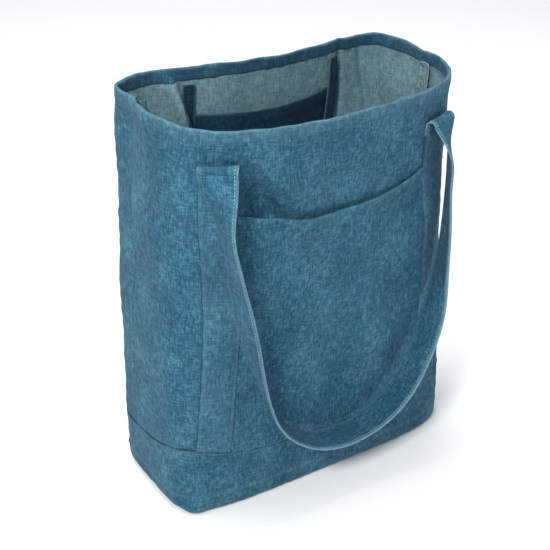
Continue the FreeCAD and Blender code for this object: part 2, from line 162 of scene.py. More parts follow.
CAMERA_PLACE = (-0.5493, -0.8472, 0.7503)
CAMERA_PITCH = 29.29
CAMERA_HEADING = 32.32
CAMERA_LENS = 80.1

FACES = ("front", "back")
OUTLINE_SAMPLES = 1440
RING_HEIGHTS = np.linspace(0.0, HEIGHT, 153)
WALK_STEP = 0.001
WALK = np.arange(-0.460, 0.860, WALK_STEP)
NORMAL_REACH = 0.003


# ---------------------------------------------------------------- numbers

def mix(low, high, share):
    return low + (high - low) * share


def smooth(share):
    share = np.clip(share, 0.0, 1.0)
    return share * share * (3.0 - 2.0 * share)


def bump(distance, width):
    """A soft hill, 1 at distance 0."""
    return np.exp(-((distance / width) ** 2))


def hills(distance, shapes):
    """A sum of soft hills, each with its height, its place and its half-width."""
    return sum(height * bump(distance - place, half_width) for height, place, half_width in shapes)


def unit(vectors):
    return vectors / np.maximum(np.linalg.norm(vectors, axis=-1, keepdims=True), 1e-12)


def lengths_along(path):
    """The distance along a path at each of its points."""
    steps = np.linalg.norm(np.diff(path, axis=0), axis=1)
    return np.concatenate(([0.0], np.cumsum(steps)))


def waves(seed, count, low, high):
    """A fixed mix of sine waves in space with wavelengths from low to high."""
    random = np.random.default_rng(seed)
    lengths = low * (high / low) ** random.random(count)
    ways = unit(random.normal(0.0, 1.0, (count, 3)))
    phases = random.random(count) * 2.0 * np.pi

    def value(points):
        total = 0.0
        for length, way, phase in zip(lengths, ways, phases):
            total = total + np.sin(2.0 * np.pi * (points @ way) / length + phase)
        return total / math.sqrt(count / 2.0)

    return value


# ---------------------------------------------------------------- the outline

def outline(height):
    """x and y round the bag at a height, from the left side counter-clockwise past the front."""
    rise = height / HEIGHT
    flare = rise ** FLARE_POWER
    corner = rise ** SQUARENESS_POWER
    angle = np.pi + np.linspace(0.0, 2.0 * np.pi, OUTLINE_SAMPLES + 1)
    cos, sin = np.cos(angle), np.sin(angle)
    in_front = sin < 0.0
    reaches = [mix(BASE_HALF_DEPTH, MOUTH_REACH[face], flare) for face in FACES]
    squares = [mix(BASE_SQUARENESS, MOUTH_SQUARENESS[face], corner) for face in FACES]
    reach = np.where(in_front, *reaches)
    power = 2.0 / np.where(in_front, *squares)
    x = np.sign(cos) * np.abs(cos) ** power * mix(BASE_HALF_WIDTH, MOUTH_HALF_WIDTH, flare)
    y = np.sign(sin) * np.abs(sin) ** power * reach
    spread = np.maximum(1.0 - ((x - BACK_DIP_CENTRE) / BACK_DIP_HALF_WIDTH) ** 2, 0.0) ** 2
    y = np.where(in_front, y, y - BACK_DIP_DEPTH * rise ** BACK_DIP_POWER * spread)
    return x + MOUTH_SHIFT[0] * flare, y + MOUTH_SHIFT[1] * flare


def ring_table():
    """The outline at each ring height and walked distance, and each ring's landmarks."""
    rings, marks = [], []
    for height in RING_HEIGHTS:
        x, y = outline(height)
        along = lengths_along(np.stack([x, y], axis=1))
        middle, right, back = (along[OUTLINE_SAMPLES * quarter // 4] for quarter in (1, 2, 3))
        walked = (WALK + middle) % along[-1]
        rings.append(np.stack([np.interp(walked, along, x), np.interp(walked, along, y)], axis=1))
        left = -middle - LEFT_SEAM_BACK
        marks.append((left, right - middle - RIGHT_SEAM_FORWARD, back - middle, left + along[-1]))
    return np.array(rings), np.array(marks)


RINGS, MARKS = ring_table()
RING_LENGTH = MARKS[-1, 3] - MARKS[-1, 0]


def seam(name, z):
    """Where a seam or the back's middle is at a height, as a distance from the front's middle."""
    column = ("left", "right", "back", "left_again").index(name)
    place = np.interp(z, RING_HEIGHTS, MARKS[:, column])
    if name in ("left", "left_again"):
        place = place + hills(np.asarray(z), LEFT_SEAM_BENDS)
    return place


def on_ring(s, z):
    """x and y on the plain outline."""
    row = np.clip(z / HEIGHT, 0.0, 1.0) * (len(RING_HEIGHTS) - 1)
    column = np.clip((s - WALK[0]) / WALK_STEP, 0.0, len(WALK) - 1.001)
    row_low = np.minimum(row.astype(int), len(RING_HEIGHTS) - 2)
    column_low = column.astype(int)
    up = (row - row_low)[..., None]
    on = (column - column_low)[..., None]
    low = mix(RINGS[row_low, column_low], RINGS[row_low, column_low + 1], on)
    high = mix(RINGS[row_low + 1, column_low], RINGS[row_low + 1, column_low + 1], on)
    return mix(low, high, up)


def outward(s, z):
    """The level direction straight out from the outline."""
    along = on_ring(s + NORMAL_REACH, z) - on_ring(s - NORMAL_REACH, z)
    level = np.zeros(along.shape[:-1])
    return unit(np.stack([along[..., 1], -along[..., 0], level], axis=-1))


# Soft folds and hollows of the standing bag: distance, height, half-length, half-width, tilt from
# upright in degrees, and how far the cloth moves out.
SOFT_FOLDS = (
    (-0.150, 0.345, 0.030, 0.006, -38.0, -0.0018),
    (-0.168, 0.335, 0.026, 0.005, -30.0, 0.0014),
    (-0.140, 0.215, 0.080, 0.011, 4.0, -0.0016),
    (-0.160, 0.130, 0.060, 0.010, -6.0, 0.0016),
    (-0.060, 0.323, 0.030, 0.009, -42.0, 0.0060),
    (0.168, 0.245, 0.075, 0.045, 0.0, -0.0078),
    (-0.010, 0.318, 0.030, 0.010, -70.0, -0.0022),
    (-0.066, 0.170, 0.060, 0.014, -14.0, -0.0026),
    (-0.030, 0.190, 0.070, 0.016, -10.0, 0.0022),
    (0.030, 0.220, 0.060, 0.018, -8.0, 0.0018),
    (0.000, 0.112, 0.016, 0.060, 4.0, -0.0026),
    (0.055, 0.140, 0.040, 0.014, -24.0, 0.0020),
    (0.060, 0.335, 0.030, 0.014, -24.0, -0.0020),
    (0.020, 0.345, 0.020, 0.020, 60.0, 0.0014),
    (-0.240, 0.335, 0.050, 0.018, 6.0, -0.0075),
    (-0.272, 0.330, 0.055, 0.009, 2.0, 0.0045),
    (-0.205, 0.225, 0.030, 0.008, 14.0, -0.0026),
    (0.262, 0.320, 0.060, 0.004, 4.0, 0.0018),
    (0.238, 0.335, 0.040, 0.018, 0.0, -0.0030),
    (0.410, 0.250, 0.080, 0.040, 20.0, -0.0026),
    (-0.5075, 0.335, 0.040, 0.0035, 0.0, 0.0065),
    (-0.537, 0.330, 0.050, 0.0035, 8.0, 0.0030),
    (-0.565, 0.340, 0.050, 0.012, -6.0, -0.0030),
)
# The deep hollow beside the left strap's fold, of which the front pocket bridges a share.
HOLLOW = (-0.083, 0.316, 0.034, 0.012, -34.0, -0.0165)
POCKET_BRIDGE = 0.75
# The lining bulges inwards beside the inner pocket's left tape: it rises over RECESS_STEP from a
# slanting line through RECESS_PLACE at RECESS_HEIGHT, and fades away over RECESS_FADE.
RECESS_PLACE = -0.3375
RECESS_HEIGHT = 0.365
RECESS_SLANT = 0.25
RECESS_DEPTH = 0.0175
RECESS_STEP = 0.006
RECESS_FADE = 0.010
RECESS_MIDDLE = 0.338
RECESS_HALF_LENGTH = 0.036
RECESS_BELOW_RIM = 0.016
# The sharp toe at the bottom of the front's left corner.
TOE_PLACE = -0.142
TOE_HALF_WIDTH = 0.012
TOE_HALF_LENGTH = 0.013
TOE_REACH = 0.0045
# Folds fade out between these heights above the floor.
STIFF_BELOW = 0.008
STIFF_FADE = 0.040
# Ripples of the cloth, slow and quick.
SLOW_WAVES = waves(11, 9, 0.050, 0.140)
SLOW_WAVE_HEIGHT = 0.0006
QUICK_WAVES = waves(12, 12, 0.009, 0.024)
QUICK_WAVE_HEIGHT = 0.00020


def soft_fold(s, z, place, height, half_length, half_width, tilt, depth):
    """How far one soft fold lifts the cloth."""
    turn = math.radians(tilt)
    out = 0.0
    for whole in (0.0, RING_LENGTH):
        beside = s - place - whole
        along = (z - height) * math.cos(turn) + beside * math.sin(turn)
        across = beside * math.cos(turn) - (z - height) * math.sin(turn)
        out = out + depth * bump(along, half_length) * bump(across, half_width)
    return out


def relief(s, z, points):
    """How far the soft cloth stands out from or sinks behind the plain outline."""
    out = SLOW_WAVE_HEIGHT * SLOW_WAVES(points)
    for shape in (*SOFT_FOLDS, HOLLOW):
        out = out + soft_fold(s, z, *shape)
    crease = s - (RECESS_PLACE - RECESS_SLANT * (RECESS_HEIGHT - z))
    tall = bump(z - RECESS_MIDDLE, RECESS_HALF_LENGTH) * smooth((HEIGHT - z) / RECESS_BELOW_RIM)
    for whole in (0.0, RING_LENGTH):
        beside = crease - whole
        fading = bump(np.maximum(beside - RECESS_STEP, 0.0), RECESS_FADE)
        ridge = smooth(beside / RECESS_STEP) * fading
        out = out - RECESS_DEPTH * ridge * tall
    toe = TOE_REACH * bump(s - TOE_PLACE, TOE_HALF_WIDTH) * bump(z, TOE_HALF_LENGTH)
    loose = smooth((z - STIFF_BELOW) / STIFF_FADE)
    return loose * out + QUICK_WAVE_HEIGHT * QUICK_WAVES(points) + toe


def skin(s, z, out=0.0):
    """Points on the bag's cloth, out from its outer face."""
    s, z, out = np.broadcast_arrays(*(np.asarray(value, float) for value in (s, z, out)))
    flat = on_ring(s, z)
    normal = outward(s, z)
    points = np.concatenate([flat, z[..., None]], axis=-1)
    return points + normal * (out + relief(s, z, points))[..., None]


def back_distance(distance, z):
    """The distance round the bag of a place on the back, measured towards +X from its middle."""
    return seam("back", z) - distance


# ---------------------------------------------------------------- meshes

EDGE_PLACES = (0.0004, 0.0012, 0.0024)
HEMMED_EDGE_PLACES = (0.0003, 0.0008, 0.0016, 0.0026)
INNER_SIDE_OFFSET = (0.61, 0.37)
INNER_SIDE_WEAR_AND_SHADE = 0.5


def finer(low, high, step, edges=EDGE_PLACES):
    """Places from low to high, about a step apart and closer together at both ends."""
    count = max(int(round((high - low) / step)), 2)
    inside = np.linspace(low, high, count + 1)
    near = [low + edge for edge in edges] + [high - edge for edge in edges]
    places = np.unique(np.round(np.concatenate([inside, near]), 6))
    return places[(places >= low - 1e-9) & (places <= high + 1e-9)]


def rounded(distance, radius):
    """The share of full thickness at a distance from a rounded edge."""
    depth = np.clip(distance / radius, 0.0, 1.0)
    return np.sqrt(1.0 - (1.0 - depth) ** 2)


def new_object(name, points, faces, materials, face_materials=None, cloth=None, wear_and_shade=None):
    """A smooth mesh.  cloth holds each point's place on the flat cloth, and the last argument its
    rubbing, or where negative its painted shade.
    """
    mesh = bpy.data.meshes.new(name)
    mesh.from_pydata(np.asarray(points).tolist(), [], [list(face) for face in faces])
    for material in materials:
        mesh.materials.append(material)
    if face_materials is not None:
        mesh.polygons.foreach_set("material_index", np.asarray(face_materials, np.int32))
    mesh.polygons.foreach_set("use_smooth", np.ones(len(mesh.polygons), bool))
    loop_points = np.zeros(len(mesh.loops), np.int32)
    mesh.loops.foreach_get("vertex_index", loop_points)
    if cloth is not None:
        layer = mesh.uv_layers.new(name="cloth")
        layer.data.foreach_set("uv", np.asarray(cloth, np.float32)[loop_points].ravel())
    # The point attribute holds rubbing where positive and painted shade where negative.
    rubbed_and_shaded = mesh.attributes.new("wear_and_shade", "FLOAT", "POINT")
    if wear_and_shade is not None:
        rubbed_and_shaded.data.foreach_set("value", np.asarray(wear_and_shade, np.float32))
    mesh.validate()
    mesh.update()
    piece = bpy.data.objects.new(name, mesh)
    bpy.context.scene.collection.objects.link(piece)
    return piece


def grid_faces(index):
    """The four-sided faces between a grid of point numbers."""
    corners = [index[:-1, :-1], index[:-1, 1:], index[1:, 1:], index[1:, :-1]]
    return np.stack(corners, axis=-1).reshape(-1, 4)


def shell(
    name, outer, inner, cloth, materials, wear_and_shade, inner_material=0, ring=False, offset=(0.0, 0.0)
):
    """A closed layer between two grids of points.

    cloth and the rubbing and painted shade values are as in new_object, offset shifts the place on
    the cloth, inner_material may be a number for each row, and ring closes the grid round the bag.
    """
    rows, columns = outer.shape[:2]
    if ring:
        outer[:, -1], inner[:, -1] = outer[:, 0], inner[:, 0]
    count = rows * columns
    points = np.concatenate([outer.reshape(-1, 3), inner.reshape(-1, 3)])
    index = np.arange(count).reshape(rows, columns)
    outside = grid_faces(index)
    inside = grid_faces(index + count)[:, ::-1]
    borders = [index[0, :], index[-1, ::-1]]
    if not ring:
        borders += [index[::-1, 0], index[:, -1]]
    rims = np.concatenate([
        np.stack([border[1:], border[:-1], border[:-1] + count, border[1:] + count], axis=-1)
        for border in borders
    ])
    inner_numbers = np.repeat(np.broadcast_to(inner_material, (rows - 1,)), columns - 1)
    numbers = np.concatenate([np.zeros(len(outside), int), inner_numbers, np.zeros(len(rims), int)])
    faces = np.concatenate([outside, inside, rims])
    flat = cloth.reshape(-1, 2)
    flat = np.concatenate([flat, flat + INNER_SIDE_OFFSET]) + np.array(offset)
    rubbed_and_shaded = np.broadcast_to(wear_and_shade, (rows, columns)).ravel()
    rubbed_and_shaded = np.concatenate([rubbed_and_shaded, INNER_SIDE_WEAR_AND_SHADE * rubbed_and_shaded])
    return new_object(name, points, faces, materials, numbers, flat, rubbed_and_shaded)


def spline(points, count):
    """A smooth curve through points, as count evenly spaced samples."""
    points = np.asarray(points, float)
    knots = lengths_along(points[:, :3])
    size = len(points)
    matrix, wanted = np.eye(size), np.zeros_like(points)
    for i in range(1, size - 1):
        before, after = knots[i] - knots[i - 1], knots[i + 1] - knots[i]
        matrix[i, i - 1:i + 2] = before, 2.0 * (before + after), after
        rise, fall = (points[i + 1] - points[i]) / after, (points[i] - points[i - 1]) / before
        wanted[i] = 6.0 * (rise - fall)
    bends = np.linalg.solve(matrix, wanted)
    places = np.linspace(0.0, knots[-1], count)
    low = np.clip(np.searchsorted(knots, places, side="right") - 1, 0, size - 2)
    span = knots[low + 1] - knots[low]
    a, b = (knots[low + 1] - places) / span, (places - knots[low]) / span
    bend_part = ((a ** 3 - a) * span ** 2 / 6.0)[:, None] * bends[low]
    bend_part = bend_part + ((b ** 3 - b) * span ** 2 / 6.0)[:, None] * bends[low + 1]
    return a[:, None] * points[low] + b[:, None] * points[low + 1] + bend_part


# ---------------------------------------------------------------- materials

DENIM = (0.0235, 0.0960, 0.1520)
DENIM_DARK = (0.0065, 0.0400, 0.0770)
DENIM_PALE = (0.0760, 0.2050, 0.2820)
WORN = (0.20, 0.345, 0.42)
# The cloth's noises: repeats per metre across and along, detail, roughness and shift.
WARP_NOISE = ((620.0, 130.0), 4.0, 0.62, 0.0)
WEFT_NOISE = ((130.0, 620.0), 4.0, 0.62, 3.1)
MOTTLE_NOISE = ((190.0, 150.0), 6.0, 0.72, 7.7)
WASH_NOISE = ((30.0, 20.0), 3.0, 0.55, 1.9)
CRUMPLE_NOISE = ((75.0, 60.0), 3.0, 0.55, 5.3)
THREADS_PER_METRE = 520.0
# Shares of warp, weft, mottle and wash in the colour's tone, and how far the tone spreads.
TONE_SHARES = (0.32, 0.26, 0.25, 0.17)
TONE_SPREAD = 3.9
# Rubbing follows the mottle in patches, and painted shade is darker than the darkest cloth.
PATCH_SPREAD = 1.1
PATCH_LEAST = 0.35
PAINTED_SHADE_DARKNESS = 0.35
# Shares of weave, warp, weft and crumple in the cloth's bumps.
BUMP_SHARES = (0.45, 0.7, 0.6, 1.6)


class Nodes:
    """Short names for building one material's nodes."""

    def __init__(self, name):
        self.material = bpy.data.materials.new(name)
        self.material.use_nodes = True
        self.tree = self.material.node_tree
        self.shader = self.tree.nodes["Principled BSDF"]

    def node(self, kind, **settings):
        made = self.tree.nodes.new(kind)
        for key, value in settings.items():
            setattr(made, key, value)
        return made

    def link(self, output, socket):
        self.tree.links.new(output, socket)

    def math(self, operation, a, b=0.0, clamp=False):
        made = self.node("ShaderNodeMath", operation=operation, use_clamp=clamp)
        for socket, value in zip(made.inputs, (a, b)):
            if isinstance(value, (int, float)):
                socket.default_value = value
            else:
                self.link(value, socket)
        return made.outputs[0]

    def weighted(self, parts, weights):
        """The sum of values, each times its weight."""
        total = self.math("MULTIPLY", parts[0], weights[0])
        for part, weight in zip(parts[1:], weights[1:]):
            total = self.math("ADD", total, self.math("MULTIPLY", part, weight))
        return total

    def cloth_place(self):
        return self.node("ShaderNodeUVMap", uv_map="cloth").outputs["UV"]

    def noise(self, place, stretch, detail, rough, shift):
        mapping = self.node("ShaderNodeMapping")
        mapping.inputs["Scale"].default_value = (*stretch, 1.0)
        mapping.inputs["Location"].default_value = (shift, shift * 0.7, shift * 0.3)
        self.link(place, mapping.inputs["Vector"])
        made = self.node("ShaderNodeTexNoise", noise_dimensions="2D")
        made.inputs["Scale"].default_value = 1.0
        made.inputs["Detail"].default_value = detail
        made.inputs["Roughness"].default_value = rough
        self.link(mapping.outputs[0], made.inputs["Vector"])
        return made.outputs["Fac"]

    def wave(self, place, direction, per_metre):
        mapping = self.node("ShaderNodeMapping")
        mapping.inputs["Scale"].default_value = (per_metre, per_metre, 1.0)
        self.link(place, mapping.inputs["Vector"])
        made = self.node("ShaderNodeTexWave", wave_type="BANDS", bands_direction=direction)
        made.inputs["Scale"].default_value = 1.0
        made.inputs["Distortion"].default_value = 0.6
        made.inputs["Detail"].default_value = 1.0
        self.link(mapping.outputs[0], made.inputs["Vector"])
        return made.outputs["Fac"]

    def ramp(self, value, stops):
        made = self.node("ShaderNodeValToRGB")
        band = made.color_ramp
        while len(band.elements) < len(stops):
            band.elements.new(0.5)
        for element, (place, colour) in zip(band.elements, stops):
            element.position = place
            element.color = (*colour, 1.0)
        self.link(value, made.inputs[0])
        return made.outputs[0]

    def mix_colour(self, share, a, b):
        made = self.node("ShaderNodeMix", data_type="RGBA")
        for socket, value in ((made.inputs[0], share), (made.inputs[6], a), (made.inputs[7], b)):
            if isinstance(value, tuple):
                socket.default_value = (*value, 1.0)
            elif isinstance(value, float):
                socket.default_value = value
            else:
                self.link(value, socket)
        return made.outputs[2]


def cloth_material(name, dark, base, pale, contrast=1.0, worn=WORN):
    """Washed, slubby plain-weave cloth, pale where it is rubbed and darkened by painted shade where
    its point value is negative.
    """
    nodes = Nodes(name)
    place = nodes.cloth_place()
    warp = nodes.noise(place, *WARP_NOISE)
    weft = nodes.noise(place, *WEFT_NOISE)
    mottle = nodes.noise(place, *MOTTLE_NOISE)
    wash = nodes.noise(place, *WASH_NOISE)
    total = nodes.weighted((warp, weft, mottle, wash), TONE_SHARES)
    spread = nodes.math("MULTIPLY", nodes.math("SUBTRACT", total, 0.5), TONE_SPREAD * contrast)
    tone = nodes.math("ADD", spread, 0.5, clamp=True)
    colour = nodes.ramp(tone, ((0.0, dark), (0.5, base), (1.0, pale)))
    rubbed_and_shaded = nodes.node("ShaderNodeAttribute", attribute_name="wear_and_shade").outputs["Fac"]
    patches = nodes.math("ADD", nodes.math("MULTIPLY", mottle, PATCH_SPREAD), PATCH_LEAST)
    patchy = nodes.math("MULTIPLY", rubbed_and_shaded, patches)
    colour = nodes.mix_colour(nodes.math("MINIMUM", patchy, 1.0), colour, worn)
    # Negative point values paint shade: thin dark lines along the band edges and just below the base
    # seam.
    painted_shade = nodes.math("MULTIPLY", rubbed_and_shaded, -1.0, clamp=True)
    colour = nodes.mix_colour(painted_shade, colour, tuple(PAINTED_SHADE_DARKNESS * part for part in dark))
    nodes.link(colour, nodes.shader.inputs["Base Color"])
    weave_x = nodes.wave(place, "X", THREADS_PER_METRE)
    weave_y = nodes.wave(place, "Y", THREADS_PER_METRE)
    weave = nodes.math("MULTIPLY", weave_x, weave_y)
    crumple = nodes.noise(place, *CRUMPLE_NOISE)
    raised = nodes.weighted((weave, warp, weft, crumple), BUMP_SHARES)
    lumps = nodes.node("ShaderNodeBump")
    lumps.inputs["Strength"].default_value = 0.55
    lumps.inputs["Distance"].default_value = 0.0006
    nodes.link(raised, lumps.inputs["Height"])
    nodes.link(lumps.outputs[0], nodes.shader.inputs["Normal"])
    rough = nodes.math("ADD", nodes.math("MULTIPLY", mottle, 0.16), 0.80)
    nodes.link(rough, nodes.shader.inputs["Roughness"])
    nodes.shader.inputs["Specular IOR Level"].default_value = 0.15
    nodes.shader.inputs["Sheen Weight"].default_value = 0.04
    nodes.shader.inputs["Sheen Roughness"].default_value = 0.5
    return nodes.material


def thread_material(name, colour, dark):
    nodes = Nodes(name)
    place = nodes.node("ShaderNodeTexCoord").outputs["Object"]
    made = nodes.node("ShaderNodeTexNoise")
    made.inputs["Scale"].default_value = 900.0
    nodes.link(place, made.inputs["Vector"])
    shade = nodes.ramp(made.outputs["Fac"], ((0.3, dark), (0.7, colour)))
    nodes.link(shade, nodes.shader.inputs["Base Color"])
    nodes.shader.inputs["Roughness"].default_value = 0.7
    return nodes.material


BODY = cloth_material("body_cloth", DENIM_DARK, DENIM, DENIM_PALE)
STRAP = cloth_material(
    "strap_cloth", (0.0060, 0.0390, 0.0750), (0.0210, 0.0920, 0.1470), (0.0700, 0.1970, 0.2750)
)
# The inner pocket and its tapes: the denim's right side, painted far darker than the outside's denim
# as shade inside the bag.
POCKET_PAINTED_SHADE = cloth_material(
    "pocket_cloth", (0.002, 0.014, 0.032), (0.005, 0.030, 0.058), (0.016, 0.062, 0.100)
)
WRONG_SIDE = cloth_material(
    "wrong_side", (0.072, 0.148, 0.172), (0.140, 0.245, 0.278), (0.255, 0.375, 0.405), 0.95,
    worn=(0.38, 0.50, 0.52),
)
# The hem's turned-in face is the denim's right side, painted darker than the outside's denim as shade
# inside the rim.
HEM_SIDE_PAINTED_SHADE = cloth_material(
    "hem_inside_painted_shade", (0.005, 0.030, 0.060), (0.014, 0.062, 0.112), (0.040, 0.125, 0.185)
)
RAW = cloth_material(
    "raw_edge", (0.05, 0.10, 0.13), (0.14, 0.22, 0.25), (0.30, 0.37, 0.38), 1.3,
    worn=(0.5, 0.55, 0.55),
)
# The same raw edge painted darker as shade, for the left allowance in the bag's shaded corner.
RAW_PAINTED_SHADE = cloth_material(
    "raw_edge_painted_shade", (0.010, 0.035, 0.050), (0.030, 0.080, 0.105), (0.110, 0.190, 0.220), 1.3,
    worn=(0.10, 0.18, 0.21),
)
THREAD = thread_material("thread", (0.260, 0.420, 0.490), (0.120, 0.240, 0.300))
DULL_THREAD = thread_material("dull_thread", (0.075, 0.180, 0.240), (0.030, 0.100, 0.150))
# The thread painted darker as shade, for the stitches inside the inner pocket.
THREAD_PAINTED_SHADE = thread_material("thread_painted_shade", (0.020, 0.070, 0.115), (0.010, 0.040, 0.075))


# ---------------------------------------------------------------- panels and base

UP = np.array([0.0, 0.0, 1.0])
# Mesh steps of the body cloths across and up, and of the inner pocket.
STEP_ACROSS = 0.0024
STEP_UP = 0.0026
INNER_STEP = 0.003
# A body panel's rough width, and how far it reaches below the base seam.
PANEL_WIDTH = 0.415
PANEL_UNDER_BASE = 0.010
SEAM_SINK = ((-0.0016, 0.0, 0.0016),)
# Where a cloth goes behind the base cloth: how far it sinks, from how far above the base seam,
# and over which height.
PANEL_UNDER = (0.0010, 0.0008, 0.0016)
POCKET_UNDER = (0.0022, 0.0012, 0.0025)
# The rim's hem: extra mesh rows at its lower edge, over which height it ends, its extra thickness
# and how uneven that is, the dent and the swelling of its stitching, and the rim's own waves.
HEM_EDGE_ROWS = np.array([-0.0008, 0.0, 0.0006])
HEM_END = 0.0012
HEM_THICKNESS = 0.0022
HEM_SWELL = 0.0005
HEM_DENT = ((-0.0005, 0.0, 0.0012),)
HEM_PUFF = 0.0004
HEM_PUFF_RISE = 0.004
RIM_ROUNDING = 0.0022
RIM_WAVE_HEIGHT = 0.0006
RIM_WAVE_PACE = 1.5
RIM_WAVE_BELOW = 0.02
# Rubbing of a panel below its rim and beside its seams.
RIM_WEAR = ((0.30, 0.0, 0.0026), (0.10, 0.007, 0.004))
SEAM_WEAR = ((0.10, 0.0025, 0.0015),)

# The base cloth: mesh columns, rows as shares of the way out from the bottom's middle, rows round
# its edge, and rows as shares of the way up the sides.
BASE_COLUMNS = 341
BOTTOM_ROWS = (0.0, 0.08, 0.25, 0.45, 0.65, 0.8, 0.9, 0.96)
BASE_EDGE_ROWS = 7
SIDE_ROWS = (*np.linspace(0.08, 0.94, 22), 0.965, 0.985, 1.0)
BOTTOM_FLAT_REACH = 0.07
# How far the base cloth stands out from the panels, and more towards its top and over the bands.
BASE_OUT = 0.0003
BASE_TOP_OUT = 0.0003
BASE_TOP_RISE = 0.008
BASE_TOP_ROUNDING = 0.0012
BAND_RIDE = 0.0009
BAND_RIDE_MARGIN = 0.003
BAND_RIDE_EDGE = 0.004
# The crease near the floor and the dent of the stitching.
BASE_CREASE = ((0.0006, 0.020, 0.0016),)
BASE_DENT = ((-0.0004, EDGE_STITCH_INSET, 0.001),)
# Rubbing of the base cloth by height, by height on its sides only, and painted shade in a thin dark
# line below its top edge.
CREASE_WEAR = ((0.16, 0.020, 0.0018),)
FOOT_WEAR = ((0.15, 0.003, 0.004),)
BASE_TOP_PAINTED_SHADE = ((-0.85, 0.0, 0.0008),)


def seam_height(s):
    """The base seam's real height: it dips in the middle of the front and rises at the corners."""
    whole_round = seam("left_again", BASE_SEAM_HEIGHT) - seam("left", BASE_SEAM_HEIGHT)
    rise = hills(s, BASE_SEAM_RISES) + hills(s - whole_round, BASE_SEAM_RISES)
    return BASE_SEAM_HEIGHT + rise + BASE_SEAM_LIFT


def tucked(s, z, sink, above, fade):
    """How far a cloth sinks in where it goes behind the base cloth."""
    return sink * smooth((seam_height(s) + above - z) / fade)


def body_panel(name, left, right, replaced):
    """A body panel between two seams, its rim turned in as a hem of two more layers."""
    hem_edge = HEIGHT - HEM_INSIDE_DEPTH
    shares = finer(0.0, PANEL_WIDTH, STEP_ACROSS) / PANEL_WIDTH
    heights = finer(BASE_SEAM_HEIGHT - PANEL_UNDER_BASE, HEIGHT, STEP_UP, HEMMED_EDGE_PLACES)
    heights = np.unique(np.concatenate([heights, hem_edge + HEM_EDGE_ROWS]))
    z = np.broadcast_to(heights[:, None], (len(heights), len(shares)))
    start, end = seam(left, z), seam(right, z)
    s = mix(start, end, shares[None, :])
    edge = np.minimum(s - start, end - s)
    hem = smooth((z - hem_edge + HEM_END / 2.0) / HEM_END)
    swell = HEM_SWELL * QUICK_WAVES(np.stack([s * 0.8, z * 0.2, 0.0 * z], axis=-1))
    half = (CLOTH + hem * (HEM_THICKNESS + swell * hem)) / 2.0
    out = hills(edge, SEAM_SINK) + hills(z - HEM_STITCH_HEIGHT, HEM_DENT)
    out = out + HEM_PUFF * smooth((z - HEM_STITCH_HEIGHT) / HEM_PUFF_RISE)
    out = out - tucked(s, z, *PANEL_UNDER) - half
    full = rounded(HEIGHT - z, RIM_ROUNDING)
    outer = skin(s, z, out + half * full)
    inner = skin(s, z, out - half * full)
    place = np.concatenate([on_ring(s, z), 0.0 * z[..., None]], axis=-1)
    near_rim = smooth((z - HEIGHT + RIM_WAVE_BELOW) / RIM_WAVE_BELOW)
    rim_wave = RIM_WAVE_HEIGHT * SLOW_WAVES(place * RIM_WAVE_PACE) * near_rim
    outer[..., 2] += rim_wave
    inner[..., 2] += rim_wave
    wear_and_shade = hills(HEIGHT - z, RIM_WEAR) + hills(edge, SEAM_WEAR)
    row_middles = (heights[:-1] + heights[1:]) / 2.0
    # Rows in the hem get the darker hem cloth with painted shade, the rest the lining.
    inside = np.where(row_middles > hem_edge, 2, 1)
    flat = np.stack([s, z], axis=-1)
    piece = shell(name, outer, inner, flat, [BODY, WRONG_SIDE, HEM_SIDE_PAINTED_SHADE], wear_and_shade, inside)
    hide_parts(replaced)
    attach(piece, "bag")
    return piece


def round_the_bag(z, shares):
    """Distances from the left seam all the way round to it again."""
    return mix(seam("left", z), seam("left_again", z), shares)


def base_cloth():
    """The bottom and the band that wraps up the sides to the base seam, as one cloth."""
    shares = np.linspace(0.0, 1.0, BASE_COLUMNS)
    level = 0.0 * shares
    s = round_the_bag(BASE_SEAM_HEIGHT, shares)
    top = seam_height(s)
    lift = band_bump(s)
    bottom_rim = skin(round_the_bag(0.0, shares), level, -BASE_EDGE_RADIUS)
    rows = []
    for share in BOTTOM_ROWS:
        flat_height = (share - 1.0) * BOTTOM_FLAT_REACH + level
        rows.append((share * bottom_rim, 0.0 * bottom_rim - UP, flat_height))
    for turn in np.linspace(0.0, np.pi / 2.0, BASE_EDGE_ROWS):
        z = BASE_EDGE_RADIUS * (1.0 - math.cos(turn)) + level
        s = round_the_bag(z, shares)
        normal = math.sin(turn) * outward(s, z) - math.cos(turn) * UP
        rows.append((skin(s, z, -BASE_EDGE_RADIUS * (1.0 - math.sin(turn))), normal, z))
    for climb in SIDE_ROWS:
        z = mix(BASE_EDGE_RADIUS, top, climb)
        s = round_the_bag(z, shares)
        below = top - z
        out = BASE_OUT + (BASE_TOP_OUT + lift) * smooth((BASE_TOP_RISE - below) / BASE_TOP_RISE)
        out = out + hills(z, BASE_CREASE) + hills(below, BASE_DENT)
        rows.append((skin(s, z, out), outward(s, z), z))
    points, normals, heights = (np.array(part) for part in zip(*rows))
    z = points[..., 2]
    half = normals * CLOTH / 2.0
    full = rounded(top - z, BASE_TOP_ROUNDING)[..., None]
    flat = np.stack([np.broadcast_to(s, heights.shape), heights], axis=-1)
    sides = (np.arange(len(rows)) > len(BOTTOM_ROWS))[:, None]
    # The base cloth's top edge gets a thin line of painted shade just below the seam.
    wear_and_shade = hills(z, CREASE_WEAR) + hills(top - z, BASE_TOP_PAINTED_SHADE) + hills(z, FOOT_WEAR) * sides
    piece = shell(
        "base_cloth_shell", points - half + half * full, points - half - half * full, flat,
        [BODY, WRONG_SIDE], wear_and_shade, 1, ring=True,
    )
    weld(piece)
    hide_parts("base_cloth")
    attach(piece, "bag")
    return piece


def weld(piece):
    """Joins points that lie on each other, as where a grid closes round the bag."""
    made = bmesh.new()
    made.from_mesh(piece.data)
    bmesh.ops.remove_doubles(made, verts=made.verts, dist=1e-6)
    made.to_mesh(piece.data)
    made.free()


